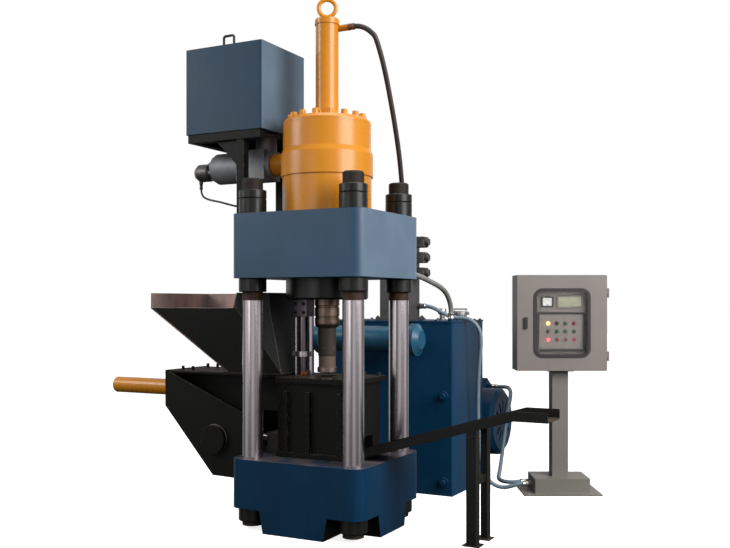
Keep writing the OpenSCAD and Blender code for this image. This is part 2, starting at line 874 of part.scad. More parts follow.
module chute_band(low, high) {
    a = chute_line(low);
    b = chute_line(high);
    polygon([a[0], a[1], a[2], b[2], b[1], b[0]]);
}

module discharge_chute() {
    w = chute_w / 2;
    color(black) {
        upright(-w, w) chute_band(0, chute_t);
        for (y = [-w, w - chute_t]) upright(y, y + chute_t) chute_band(0, chute_side);
    }
}

module chute_legs() {
    leg = 66;
    gauge = 6;
    w = chute_w / 2;
    slope = (chute_end_z - chute_z) / (chute_bend - chute_start);
    top = chute_z + slope * (leg_x - leg / 2 - chute_start);
    bar_z = 380;
    foot = 110;
    color(black) {
        for (y = [-1, 1]) difference() {
            upright(y > 0 ? w - leg : -w, y > 0 ? w : leg - w)
                polygon([[leg_x - leg / 2, 0], [leg_x + leg / 2, 0],
                    [leg_x + leg / 2, top + slope * leg], [leg_x - leg / 2, top]]);
            block(leg_x - leg / 2 - 1, leg_x + leg / 2 - gauge, y > 0 ? w - leg - 1 : gauge - w,
                y > 0 ? w - gauge : leg - w + 1, -1, top + leg);
        }
        for (y = [-1, 1]) block(leg_x - foot / 2, leg_x + foot / 2,
            y > 0 ? w - leg - 20 : -w - 10, y > 0 ? w + 10 : leg + 20 - w, 0, 8);
        block(leg_x + leg / 2 - gauge - 44, leg_x + leg / 2 - gauge, 1 - w, w - 1, bar_z, bar_z + 44);
    }
}

// Prefill unit

module prefill_tank() {
    edge = 18;
    x = pre_x + pre_l / 2;
    bail_w = 84;
    bail_h = 62;
    bail_d = 14;
    color(blue) {
        translate([x, 0, 0]) slab(pre_l, pre_w, edge, pre_z, pre_z + pre_h);
        translate([x, 0, pre_z + pre_h]) {
            for (s = [-1, 1]) translate([0, s * bail_w / 2, 0]) rod_z(bail_d, -1, bail_h);
            translate([0, 0, bail_h - bail_d]) rod_y(bail_d - 3, -bail_w / 2, bail_w / 2);
        }
    }
}

module tank_frame() {
    rail = rail_h;
    x0 = -frame_w / 2 - post_s;
    color(black) {
        for (y = [-1, 1]) translate([0, y * post_y, 0]) {
            block(x0, x0 + post_s, -post_s / 2, post_s / 2, post_foot, pre_z - rail);
            block(pre_x + 20, pre_x + pre_l - 20, -post_s / 2, post_s / 2, pre_z - rail, pre_z);
            upright(-5, 5) polygon([[x0, pre_z - rail], [x0, pre_z - rail - 190], [x0 - 190, pre_z - rail]]);
        }
        block(pre_x + 20, pre_x + 80, -post_y, post_y, pre_z - rail + 1, pre_z);
        block(x0, x0 + post_s, -post_y, post_y, post_foot + 30, post_foot + 90);
    }
}

// Valve casting with a bolted round end cover and the neck up to the tank
module prefill_valve() {
    body = 212;
    body_left = -690;
    flange_d = port_d + 44;
    bolts = 8;
    bolt_d = 26;
    end = port_x - valve_l;
    color(dark) translate([0, 0, port_z]) difference() {
        union() {
            rod_x(flange_d, port_x - 34, port_x);
            block(body_left, port_x - 33, -body / 2, body / 2, -body / 2, body / 2);
            rod_x(valve_d, end + 26, body_left + 1);
            rod_x(valve_d - 30, end, end + 27);
            for (i = [0:bolts - 1]) rotate([360 * (i + 0.5) / bolts, 0, 0])
                translate([0, 0, valve_d / 2 - 33]) rod_x(bolt_d, end - 18, end + 1);
            translate([neck_pipe_x, 0, 0]) {
                rod_z(neck_pipe_d, 0, pre_z - port_z);
                rod_z(neck_pipe_d + 50, pre_z - port_z - 20, pre_z - port_z);
            }
        }
        rod_x(port_d - 70, body_left + 40, port_x + 1);
    }
}

module pilot_head() {
    d = 130;
    x = port_x - valve_l;
    l = 176;
    color([0.42, 0.42, 0.41]) translate([0, 0, port_z - 18]) {
        rod_x(70, x - 30, x);
        translate([x - 30, 0, 0]) rotate([0, -90, 0]) cylinder(d1 = 84, d2 = d, h = 30);
        rod_x(d, x - l + 28, x - 60);
        translate([x - l + 28, 0, 0]) rotate([0, -90, 0]) cylinder(d1 = d, d2 = d - 40, h = 28);
        translate([pilot_cable_pts[0].x, 0, 0]) rod_z(30, pilot_cable_pts[0].z - (port_z - 18), 0);
    }
}

// Power unit

module oil_tank() {
    edge = 12;
    lid = 14;
    color(blue) {
        translate([(oil_left + oil_right) / 2, oil_y + oil_d / 2, 0])
            slab(oil_l, oil_d, edge, 0, oil_h - lid);
        translate([(oil_left + oil_right) / 2, oil_y + oil_d / 2, 0])
            slab(oil_l + 12, oil_d + 12, edge + 6, oil_h - lid, oil_h);
        translate([last(return_hose_pts).x, last(return_hose_pts).y, 0])
            rod_z(return_hose_d + 14, oil_h - 1, last(return_hose_pts).z);
        for (z = [110, 790]) translate([oil_right - 70, oil_y, z]) {
            rod_y(74, -14, 1);
            rod_y(40, -44, -13);
        }
    }
}

module filler_cap() {
    from_right = 100;
    from_front = 430;
    neck_d = 110;
    neck_h = 44;
    cap_d = 150;
    cap_h = 22;
    crown_d = 118;
    crown_h = 10;
    bar_d = 12;
    bar_h = 26;
    bar_half = 52;
    cap_top = oil_h + neck_h + cap_h;
    color(steel) translate([oil_right - from_right, oil_y + from_front, 0]) {
        rod_z(neck_d, oil_h, oil_h + neck_h);
        rod_z(cap_d, oil_h + neck_h, cap_top);
        translate([0, 0, cap_top]) cylinder(d1 = cap_d, d2 = crown_d, h = crown_h);
        for (s = [-1, 1]) translate([s * bar_half, 0, 0]) rod_z(bar_d, cap_top, cap_top + bar_h);
        translate([0, 0, cap_top + bar_h]) rod_x(bar_d, -bar_half - 6, bar_half + 6);
    }
}

// Shell and tube cooler with bolted caps, on saddles in front of the tank
module oil_cooler() {
    cap_l = 52;
    dome = 34;
    dome_in = 16;
    dome_top_d = 144;
    saddle_w = 70;
    saddle_h = 80;
    saddle_left = 190;
    saddle_right = 260;
    nozzle_d = 60;
    nozzle_h = 52;
    nozzle_x = 90;
    color(blue) translate([0, cooler_y, cooler_z]) {
        rod_x(cooler_d, cooler_left, cooler_right);
        for (x = [cooler_left, cooler_right - cap_l]) rod_x(cooler_cap_d, x, x + cap_l - 3);
        translate([cooler_right - 3, 0, 0]) rotate([0, 90, 0])
            cylinder(d1 = cooler_cap_d - dome_in, d2 = dome_top_d, h = dome);
        translate([cooler_left, 0, 0]) rotate([0, -90, 0])
            cylinder(d1 = cooler_cap_d - dome_in, d2 = dome_top_d, h = dome);
        for (x = [cooler_left + saddle_left, cooler_right - saddle_right]) {
            block(x, x + saddle_w, 0, oil_y - cooler_y, -saddle_h / 2, saddle_h / 2);
            translate([x + saddle_w / 2 + nozzle_x, 0, 0]) rod_z(nozzle_d, 0, cooler_d / 2 + nozzle_h);
        }
    }
}

// Finned motor on two rails, with the terminal box on its upper back
module motor_body() {
    fins = 40;
    core = motor_r - 26;
    fin_t = 7;
    fin_left = motor_left + 60;
    fin_right = motor_right - cowl_l;
    box_s = 150;
    box_l = 168;
    box_tilt = 32;
    rail_w = 90;
    foot_w = 2 * motor_r * 0.8;
    gland = motor_conduit_pts[0];
    // No fins grow under the terminal box or where the feet meet the shell
    function bare(a) = abs(a + box_tilt - 90) < 17 || abs(abs(a - 270) - 35) < 11;
    color(blue) translate([0, motor_y, motor_z]) {
        rod_x(2 * core, motor_left, fin_right + 10);
        rod_x(2 * motor_r - 10, motor_left, fin_left);
        crosswise(fin_left - 1, fin_right) for (a = [0:360 / fins:359]) if (!bare(a)) rotate(a)
            translate([core - 6, -fin_t / 2]) square([motor_r - core + 6, fin_t]);
        for (x = [motor_left + 90, fin_right - 130]) {
            block(x, x + rail_w, -foot_w / 2, foot_w / 2, -motor_z, 34 - motor_z);
            for (s = [-1, 1]) block(x, x + rail_w, s * foot_w * 0.34 - 22, s * foot_w * 0.34 + 22,
                33 - motor_z, -core * 0.7);
        }
        translate([fin_right - box_l - 4, 0, 0]) rotate([-box_tilt, 0, 0])
            block(0, box_l, -box_s / 2, box_s / 2, core - 10, motor_r + 96);
        rod_x(bearing_d, fin_right, fin_right + bearing_l);
        translate([0, gland.y - motor_y, gland.z - motor_z])
            rod_x(motor_conduit_d + 12, fin_right - 20, gland.x);
    }
}

module motor_fan() {
    blades = 7;
    hub = 96;
    blade_t = 10;
    x1 = motor_right - fan_room;
    x0 = x1 - fan_l;
    shaft_d = 42;
    color(dark) translate([0, motor_y, motor_z]) {
        rod_x(hub, x0, x1);
        rod_x(shaft_d, motor_right - cowl_l + bearing_l + fit, x0 + 1);
        crosswise(x0, x1) for (i = [0:blades - 1]) rotate(360 * i / blades)
            translate([hub / 2 - 6, -blade_t / 2]) square([fan_d / 2 - hub / 2 + 6, blade_t]);
    }
}

// Cowl over the fan, with rings of air slots in its end
module fan_cover() {
    wall = 6;
    slots = 12;
    slot_w = 26;
    slot_in = 80;
    slot_out = 190;
    rim_in = 40;
    left = motor_right - cowl_l + fit;
    shoulder = motor_right - cowl_cone;
    color(blue) translate([0, motor_y, motor_z]) difference() {
        union() {
            rod_x(2 * motor_r, left, shoulder);
            translate([shoulder, 0, 0]) rotate([0, 90, 0])
                cylinder(r1 = motor_r, r2 = motor_r - rim_in, h = cowl_cone);
        }
        rod_x(2 * (motor_r - wall), left - 1, shoulder - wall);
        for (i = [0:slots - 1]) rotate([360 * i / slots, 0, 0])
            block(shoulder - cowl_cone, motor_right + 1, -slot_w / 2, slot_w / 2, slot_in, slot_out);
    }
}

module oil_pump() {
    flange_d = 360;
    flange_t = 24;
    bell_l = 130;
    bell_d = 330;
    waist_d = 220;
    case_d = 200;
    case_l = 170;
    cap_d = 150;
    cap_l = 40;
    pipe_d = 76;
    pipe_x = 90;
    case_x = motor_left - bell_l;
    color(blue) translate([0, motor_y, motor_z]) {
        rod_x(flange_d, motor_left - flange_t, motor_left);
        translate([case_x, 0, 0]) rotate([0, 90, 0])
            cylinder(d1 = waist_d, d2 = bell_d, h = bell_l - flange_t + 1);
        rod_x(case_d, case_x - case_l, case_x + 1);
        rod_x(cap_d, case_x - case_l - cap_l, case_x - case_l + 1);
        translate([case_x - pipe_x, 0, 0]) rod_y(pipe_d, oil_y + oil_d - motor_y, 0);
    }
}

// Black manifold tower on the tank top, with the pressure port for the hose on its front
module valve_manifold() {
    port = last(quick_hose_pts);
    gland = tank_conduit_pts[0];
    color(black) {
        block(man_x, man_x + man_w, man_y, man_y + man_d, oil_h, oil_h + man_h);
        block(man_x - 30, man_x + man_w + 30, man_y - 20, man_y + man_d + 30, oil_h, oil_h + 28);
        block(man_x + 40, man_x + man_w - 40, man_y + 40, man_y + man_d - 40, oil_h + man_h - 1,
            oil_h + man_h + 40);
        translate([port.x, 0, port.z]) rod_y(quick_hose_d + 14, port.y, man_y + 1);
        translate([0, gland.y, gland.z]) rod_x(tank_conduit_d + 12, man_x + man_w - 1, gland.x);
    }
}

module solenoid_valves() {
    body = 88;
    out = 104;
    first = oil_h + 388;
    color(dark) for (i = [0:2]) translate([man_x + man_w, man_y + man_d / 2, first + i * valve_pitch]) {
        block(0, out, -body / 2, body / 2, -body / 2, body / 2);
        rod_x(58, out - 1, out + 34);
        for (y = [-1, 1], z = [-1, 1]) translate([0, y * 32, z * 32]) rod_x(15, out - 1, out + 12);
    }
}

// Control cabinet, in its own frame: x across, y from the door backwards

module cabinet_shell() {
    w = cab_w / 2;
    hinge_leaf = 4;
    color(warm_grey) at_cabinet() difference() {
        union() {
            block(-w, w, door_t + fit, cab_d, cab_z, cab_z + cab_h);
            for (z = hinge_zs) translate([hinge_x, hinge_y, 0]) {
                rod_z(2 * hinge_r, z - knuckle_h / 2 - 26, z - knuckle_h / 2 - fit);
                rod_z(2 * pin_r, z - knuckle_h / 2 - 2, z + knuckle_h / 2 - 2);
                block(cab_w / 2 - hinge_x + fit, hinge_leaf - 7, 0, 60,
                    z - knuckle_h / 2 - 26, z - knuckle_h / 2 - fit);
                block(cab_w / 2 - hinge_x - 1, hinge_leaf - 7, door_t - hinge_y + 2, 60,
                    z - knuckle_h / 2 - 26, z - knuckle_h / 2 - fit);
            }
        }
        block(-w + sheet, w - sheet, door_t, cab_d - sheet, cab_z + sheet, cab_z + cab_h - sheet);
        block(-90, 90, door_t + 80, cab_d - 30, cab_z - 1, cab_z + sheet + 1);
    }
}

// Square post on a plinth and a floor plate
module cabinet_stand() {
    back = cab_d / 2 + 20;
    hollow = 8;
    gland_l = 34;
    color([0.56, 0.53, 0.48]) {
        at_cabinet() difference() {
            union() {
                translate([0, back, 0]) {
                    slab(floor_w, floor_d, 10, 0, floor_t);
                    slab(plinth_w, plinth_d, 8, floor_t, floor_t + plinth_h);
                    slab(post_w, post_w, 6, floor_t + plinth_h, cab_z - 6);
                    slab(post_w + 80, post_w + 60, 6, cab_z - 8, cab_z);
                }
            }
            translate([0, back, 0])
                slab(post_w - 2 * hollow, post_w - 2 * hollow, 3, floor_t + plinth_h, cab_z + 1);
        }
        for (p = [last(tank_conduit_pts), last(motor_conduit_pts)]) translate(p)
            rotate([0, 0, cab_turn]) rod_x(tank_conduit_d + 12, 0.8, gland_l);
    }
}

module cabinet_door() {
    color(warm_grey) at_cabinet() difference() {
        union() {
            upright(0, door_t) translate([0, cab_mid]) rounded(cab_w, cab_h, 12);
            for (z = hinge_zs) translate([hinge_x, hinge_y, 0]) {
                rod_z(2 * hinge_r, z - knuckle_h / 2, z + knuckle_h / 2);
                block(cab_w / 2 - hinge_x - 2, 0, -7, 7, z - knuckle_h / 2, z + knuckle_h / 2);
            }
        }
        upright(-1, door_t + 1) translate([0, cab_mid]) rounded(win_w, win_h, win_r);
        upright(4, door_t + 1) translate([0, cab_mid]) rounded(cab_w - 60, cab_h - 60, 12);
        for (z = hinge_zs) translate([hinge_x, hinge_y, 0])
            rod_z(2 * (pin_r + fit), z - knuckle_h / 2 - 1, z + knuckle_h / 2 - 1.5);
        translate([latch_x, 0, cab_mid]) rod_y(latch_axle + 2 * fit, -1, door_t + 1);
    }
}

// Rubber frame that grips the window's edge
module window_gasket() {
    color(black) at_cabinet() difference() {
        union() {
            upright(-gasket_t, 0) translate([0, cab_mid])
                rounded(win_w + 2 * gasket_w, win_h + 2 * gasket_w, win_r + gasket_w);
            upright(-1, 4) translate([0, cab_mid]) rounded(win_w - 2 * fit, win_h - 2 * fit, win_r - fit);
        }
        upright(-gasket_t - 1, 5) translate([0, cab_mid])
            rounded(win_w - 2 * gasket_w, win_h - 2 * gasket_w, win_r - gasket_w);
        upright(-glass_t, 0) translate([0, cab_mid]) rounded(win_w - 8, win_h - 8, win_r - 4);
    }
}

module window_glass() {
    color([0.8, 0.85, 0.85, 0.4]) at_cabinet() upright(fit - glass_t, -fit) translate([0, cab_mid])
        rounded(win_w - 8 - 2 * fit, win_h - 8 - 2 * fit, win_r - 4 - fit);
}

module door_latch() {
    color(black) at_cabinet() translate([latch_x, 0, cab_mid]) {
        rod_y(latch_axle, -1, door_t - 8);
        upright(-16, -fit) rounded(latch_w, latch_h, 8);
    }
}

// Inner panel with a square meter, a display and the framed key field
module control_panel() {
    w = cab_w / 2 - sheet;
    h = cab_h / 2 - sheet;
    top_z = cab_mid + 168;
    color([0.85, 0.85, 0.83]) at_cabinet() difference() {
        union() {
            upright(panel_y, panel_y + panel_t) translate([0, cab_mid]) square([2 * w, 2 * h], center = true);
            upright(panel_y - 12, panel_y + 1) translate([-110, top_z]) rounded(92, 84, 5);
            upright(panel_y - 10, panel_y + 1) translate([70, top_z]) rounded(206, 100, 5);
            upright(panel_y - frame_t, panel_y + 1) translate([0, frame_z]) rounded(384, 310, 10);
        }
        upright(panel_y - 13, panel_y - 4) translate([-110, top_z]) rounded(76, 68, 3);
        upright(panel_y - 11, panel_y - 4) translate([70, top_z]) rounded(186, 80, 3);
        upright(panel_y - frame_t - 1, panel_y - 2) translate([0, frame_z]) rounded(364, 290, 6);
        for (i = [0:3]) at_key(i, 2) rod_y(key_d - 6 + 2 * fit, -frame_t, panel_t + 20);
    }
}

module at_key(column, row) {
    translate([(column - 1.5) * key_pitch_x, panel_y, key_z - row * key_pitch_z]) children();
}

// Two rows of pilot lamps over a row of push buttons
module pilot_lamps() {
    color([0.6, 0.2, 0.15]) at_cabinet() for (i = [0:3], j = [0:1]) at_key(i, j) {
        rod_y(key_d + 4, -6, -2);
        rod_y(key_d - 6, -12, -5);
    }
}

module push_button(i) {
    color([0.3, 0.5, 0.3]) at_cabinet() at_key(i, 2) {
        rod_y(key_d - 6, -14, panel_t + 4);
        rod_y(key_d, panel_t + fit, panel_t + 4);
        rod_y(key_d, -14, -7);
    }
}

// Hoses and conduits

module quick_hose() {
    color(dark) cord(quick_hose_pts, quick_hose_d);
}

module return_hose() {
    color(warm_grey) cord(return_hose_pts, return_hose_d);
}

module pilot_cable() {
    color(black) cord(pilot_cable_pts, pilot_cable_d, 8);
}

module tank_conduit() {
    color(conduit_grey) cord(tank_conduit_pts, tank_conduit_d);
}

module motor_conduit() {
    color(conduit_grey) cord(motor_conduit_pts, motor_conduit_d);
}

base_block();
columns();
column_nuts();
upper_beam();
main_cylinder();
cylinder_nut();
cylinder_cover();
quick_cylinder();
lifting_eye();
ram();
punch_holder();
punch();
hold_down_post();
lube_pipe();
die_block();
table_plate();
die_sleeve();
wear_plate();
anvil_slide();
shift_rod();
shift_cylinder();
feed_bracket();
feed_trough();
deck_plate();
hopper();
feed_pusher();
feed_rod();
feed_cylinder();
discharge_chute();
chute_legs();
prefill_tank();
tank_frame();
prefill_valve();
pilot_head();
oil_tank();
filler_cap();
oil_cooler();
motor_body();
motor_fan();
fan_cover();
oil_pump();
valve_manifold();
solenoid_valves();
cabinet_shell();
cabinet_stand();
cabinet_door();
window_gasket();
window_glass();
door_latch();
control_panel();
pilot_lamps();
push_button(0);  // push_button_1
push_button(1);  // push_button_2
push_button(2);  // push_button_3
push_button(3);  // push_button_4
quick_hose();
return_hose();
pilot_cable();
tank_conduit();
motor_conduit();
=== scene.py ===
"""Dresses a four-column chip briquetting press with its paints, metals, hoses and fittings."""

import json
import math
from itertools import product

import bmesh
import bpy
from mathutils import Matrix, Vector


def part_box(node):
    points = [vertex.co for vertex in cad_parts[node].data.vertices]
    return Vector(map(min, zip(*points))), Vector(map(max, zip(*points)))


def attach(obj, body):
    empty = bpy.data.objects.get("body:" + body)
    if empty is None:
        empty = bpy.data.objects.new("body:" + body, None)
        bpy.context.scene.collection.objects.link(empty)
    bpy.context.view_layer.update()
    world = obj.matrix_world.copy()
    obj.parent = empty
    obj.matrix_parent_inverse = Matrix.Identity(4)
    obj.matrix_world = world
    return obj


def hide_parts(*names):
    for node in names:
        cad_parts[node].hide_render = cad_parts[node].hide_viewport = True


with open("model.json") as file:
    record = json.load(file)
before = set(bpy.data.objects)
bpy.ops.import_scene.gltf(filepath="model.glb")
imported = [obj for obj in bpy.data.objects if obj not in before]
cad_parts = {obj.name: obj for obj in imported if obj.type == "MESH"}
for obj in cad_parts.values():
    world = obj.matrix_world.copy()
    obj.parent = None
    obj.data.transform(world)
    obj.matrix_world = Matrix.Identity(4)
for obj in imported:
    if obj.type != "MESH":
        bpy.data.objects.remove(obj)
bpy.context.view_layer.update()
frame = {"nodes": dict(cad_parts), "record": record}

bl_info = {
    "name": "Chip briquetting press",
    "version": (1, 0, 0),
    "blender": (4, 5, 0),
    "location": "3D View > Sidebar > Press",
    "description": "Paints, metals, hoses and fittings of a four-column briquetting press",
    "category": "Object",
}

STILL = "machine"
UP = Vector((0, 0, 1))
LEFT = Vector((-1, 0, 0))
FRONT = Vector((0, -1, 0))
# Heights on a column, in metres: nut under the beam, bare thread below it, nut pocket in the base
UNDER_NUT = 0.093
THREAD_BAND = 0.052
POCKET = 0.15
# Column radius, room between a nut and its pocket's wall, and that wall's lean, in metres
COLUMN_R = 0.071
NOTCH_ROOM = 0.034
NOTCH_LEAN = 0.030
# The tank frame's posts: the face towards the hopper, and the middles across, in metres
POST_FACE = -0.564
POST_MIDDLES = (-0.25, 0.25)
# Smooth shading ends where faces meet at more than these degrees
TURNED_CREASE = 40
BOLT_CREASE = 30
RUN_CREASE = 70
THREAD_CREASE = 80


def paint_tone(red, green, blue):
    """A colour given as a paint chart does, 0 to 255, in the light values that shaders use."""
    def light(value):
        v = value / 255
        return v / 12.92 if v <= 0.04045 else ((v + 0.055) / 1.055) ** 2.4
    return (light(red), light(green), light(blue))


def colour_value(name, description, chart):
    return bpy.props.FloatVectorProperty(
        name=name, description=description, subtype="COLOR", size=3, min=0, max=1,
        default=paint_tone(*chart))


def size_value(name, description, default):
    return bpy.props.FloatProperty(
        name=name, description=description, default=default, min=0, subtype="DISTANCE")


class PressColours(bpy.types.PropertyGroup):
    """Paint and metal colours of the press."""
    base_blue: colour_value("Base blue", "Enamel of the base block", (6, 50, 80))
    beam_blue: colour_value("Beam blue", "Enamel of the upper beam", (44, 78, 106))
    unit_blue: colour_value("Unit blue", "Enamel of the oil tank and motor", (14, 60, 92))
    # A darker copy of the beam's blue: painted shade on the prefill tank's front
    shaded_tank_blue: colour_value("Tank blue", "Enamel of the prefill tank", (34, 62, 84))
    cooler_blue: colour_value("Cooler blue", "Enamel of the oil cooler", (44, 92, 118))
    yellow: colour_value("Cylinder yellow", "Enamel of the cylinders", (208, 132, 24))
    black: colour_value("Frame black", "Paint of the bracket, hopper and chute", (19, 19, 16))
    steel: colour_value("Ground steel", "Columns, ram and rods", (186, 177, 180))
    rust: colour_value("Rust", "Stain on threads and bare edges", (60, 38, 26))
    # The grease colour also paints shade on the columns' ends in the base's nut pockets
    grease_and_shade: colour_value("Grease", "Black grease on the studs", (38, 27, 17))
    dust: colour_value("Chip dust", "Brown dust on level faces", (118, 100, 84))
    cabinet: colour_value("Cabinet grey", "Powder coat of the control cabinet", (128, 120, 115))
    stand: colour_value("Stand grey", "Powder coat of the cabinet's stand", (121, 117, 110))
    conduit: colour_value("Conduit grey", "Corrugated conduit", (122, 142, 154))


class PressSizes(bpy.types.PropertyGroup):
    """Sizes of the fittings, in metres."""
    thread_pitch: size_value("Thread pitch", "Pitch of the column thread", 0.006)
    thread_wire: size_value("Thread depth", "Height of a thread's crest", 0.0017)
    rib_pitch: size_value("Conduit pitch", "Distance between the conduit's ribs", 0.011)
    small_bolt: size_value("Small bolt", "Head width of the small bolts", 0.018)
    large_bolt: size_value("Large bolt", "Head width of the large bolts", 0.030)
    bead: size_value("Weld bead", "Radius of the weld beads", 0.005)


class PressStage(bpy.types.PropertyGroup):
    """Camera and floor."""
    lens: bpy.props.FloatProperty(
        name="Lens", description="Focal length", default=45.64, min=1, unit="CAMERA")
    horizon: bpy.props.FloatProperty(
        name="Horizon", description="Upward shift of the frame", default=0.039)
    turn: bpy.props.FloatProperty(
        name="View angle", description="Turn of the view from the front",
        default=math.radians(27.2266), subtype="ANGLE")
    eye: bpy.props.FloatVectorProperty(
        name="Eye", description="Place of the camera", default=(3.1695, -5.5862, 1.53),
        subtype="TRANSLATION")
    pale: colour_value("Floor", "Plain pale floor", (250, 250, 250))


def press_colours():
    return bpy.context.scene.chip_press_colours


def press_sizes():
    return bpy.context.scene.chip_press_sizes


# Nodes


def connect(tree, source, socket):
    """Links a socket to a source, or gives it the source as its value."""
    if isinstance(source, bpy.types.NodeSocket):
        tree.links.new(source, socket)
    else:
        socket.default_value = source


def wire_up(tree, kind, values, **options):
    """Adds a node with its options, and its inputs set or linked by name or number."""
    node = tree.nodes.new(kind)
    for key, value in options.items():
        setattr(node, key, value)
    for key, value in values.items():
        connect(tree, value, node.inputs[key])
    return node.outputs


def worked_out(tree, operation, a, b=0.0):
    return wire_up(tree, "ShaderNodeMath", {0: a, 1: b}, operation=operation)[0]


def multiplied(tree, first, *others):
    for other in others:
        first = worked_out(tree, "MULTIPLY", first, other)
    return first


def spanned(tree, *values):
    """A value, its span and the span that it is taken to, in the order of the node's inputs."""
    return wire_up(tree, "ShaderNodeMapRange", dict(enumerate(values)))[0]


# Materials


class Finish:
    """A procedural material in the making. Patterns read Object coordinates."""

    def __init__(self, name):
        self.material = bpy.data.materials.new(name)
        self.material.use_nodes = True
        self.tree = self.material.node_tree
        self.shader = self.tree.nodes["Principled BSDF"]
        self.place = self.add("ShaderNodeTexCoord", {})["Object"]
        self.surface = self.add("ShaderNodeNewGeometry", {})["Normal"]

    def add(self, kind, values, **options):
        return wire_up(self.tree, kind, values, **options)

    def set(self, **values):
        for key, value in values.items():
            connect(self.tree, value, self.shader.inputs[key.replace("_", " ")])

    def noise(self, scale, detail=3.0, stretch=(1, 1, 1)):
        spot = self.add("ShaderNodeMapping", {"Vector": self.place, "Scale": stretch})[0]
        pattern = {"Vector": spot, "Scale": scale, "Detail": detail, "Roughness": 0.55}
        return self.add("ShaderNodeTexNoise", pattern)["Fac"]

    def span(self, value, low, high, out_low=0.0, out_high=1.0):
        return spanned(self.tree, value, low, high, out_low, out_high)

    def math(self, operation, a, b=0.0):
        return worked_out(self.tree, operation, a, b)

    def times(self, first, *others):
        return multiplied(self.tree, first, *others)

    def blend(self, share, a, b):
        a, b = (tone if isinstance(tone, bpy.types.NodeSocket) else (*tone, 1) for tone in (a, b))
        return self.add("ShaderNodeMix", {0: share, 6: a, 7: b}, data_type="RGBA")[2]

    def axis(self, source, index):
        return self.add("ShaderNodeSeparateXYZ", {0: source})[index]

    def dot(self, a, b):
        return self.add("ShaderNodeVectorMath", {0: a, 1: b}, operation="DOT_PRODUCT")["Value"]

    def away(self, point):
        return self.add("ShaderNodeVectorMath", {0: self.place, 1: point}, operation="SUBTRACT")[0]

    def level(self):
        """1 on faces that look up, where dust lies."""
        return self.span(self.axis(self.surface, 2), 0.6, 0.98)

    def between(self, low, high):
        """1 between two heights."""
        soft = 0.002
        z = self.axis(self.place, 2)
        return self.times(self.span(z, low - soft, low), self.span(z, high, high + soft, 1.0, 0.0))

    def rounded(self, radius):
        return self.add("ShaderNodeBevel", {"Radius": radius}, samples=4)["Normal"]

    def rim(self, soft):
        """1 at the edges, where the eased normal leaves the face's own."""
        return self.span(self.dot(soft, self.surface), 0.985, 0.86)

    def bump(self, height, strength, distance, base=None):
        values = {"Strength": strength, "Distance": distance, "Height": height}
        if base is not None:
            values["Normal"] = base
        return self.add("ShaderNodeBump", values)["Normal"]


def shaded(colour, share):
    return tuple(channel * share for channel in colour)


def lightened(colour, gain, lift):
    return tuple(min(1, channel * gain + lift) for channel in colour)


def enamel(name, colour, gloss=(0.28, 0.5), dust=0.35, edge_wear_and_light=0.35, shade=0.72, edge=0.003, bare=None,
           grime=0.35, sheen=0.4, side_light=0.0, painted_shade=None):
    """Brushed-on machine enamel: uneven tone, dust on level faces, runs of grime, chipped edges; where their
    tone is pale and strong the edges are partly a painted highlight of lit edges.

    The side towards +X may be painted paler, as painted light and reflection on that side.
    A place of painted shade is black: a share worked out from the finish.
    """
    colours = press_colours()
    f = Finish(name)
    uneven = f.noise(1.9, 5)
    speck = f.noise(46, 5)
    runs = f.noise(11, 4, stretch=(1, 1, 0.07))
    body = f.blend(f.span(uneven, 0.34, 0.68), shaded(colour, shade), colour)
    body = f.blend(f.times(f.span(runs, 0.52, 0.8), grime), body, shaded(colour, 0.45))
    body = f.blend(f.times(f.span(speck, 0.6, 0.75), 0.18), body, lightened(colour, 1.6, 0.02))
    # Painted light: faces that look towards +X blend towards a pale grey-blue, as if lit from that side
    if side_light:
        side = f.span(f.axis(f.surface, 0), 0.75, 0.97)
        painted_side_light = f.times(side, f.span(uneven, 0.2, 0.8, 0.5, 1.0), side_light)
        body = f.blend(painted_side_light, body, paint_tone(176, 190, 202))
    # Painted shade: the given place blends towards black
    if painted_shade:
        body = f.blend(painted_shade(f), body, shaded(colours.black, 0.5))
    dusty = f.times(f.level(), f.span(f.noise(7, 6), 0.3, 0.66), dust)
    body = f.blend(dusty, body, colours.dust)
    soft = f.rounded(edge)
    # Edges in the given tone: chipped paint, and where that tone is pale and strong, also a painted
    # highlight of lit edges
    chip = f.times(f.rim(soft), f.span(f.noise(70, 4), 0.5, 0.62), edge_wear_and_light)
    body = f.blend(chip, body, bare or colours.rust)
    rough = f.span(f.math("ADD", f.times(uneven, 0.7), f.times(speck, 0.3)), 0.3, 0.7, *gloss)
    rough = f.math("MAXIMUM", rough, f.times(f.math("ADD", dusty, chip), 0.8))
    f.set(Base_Color=body, Roughness=rough, Specular_IOR_Level=sheen,
          Normal=f.bump(speck, 0.12, 0.0006, soft))
    return f.material


def nut_pocket_shade(f):
    """1 on the walls of the nut pockets under the base's corners, where shade is painted black."""
    columns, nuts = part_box("columns")[1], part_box("column_nuts")[1]
    z = f.axis(f.place, 2)
    share = f.math("LESS_THAN", z, POCKET + 0.001)
    for index in (0, 1):
        wall = 2 * (columns[index] - COLUMN_R) - nuts[index] - NOTCH_ROOM
        reach = f.math("ADD", f.times(z, NOTCH_LEAN / POCKET), wall - NOTCH_LEAN - 0.002)
        out = f.math("ABSOLUTE", f.axis(f.place, index))
        share = f.times(share, f.math("GREATER_THAN", out, reach))
    return share


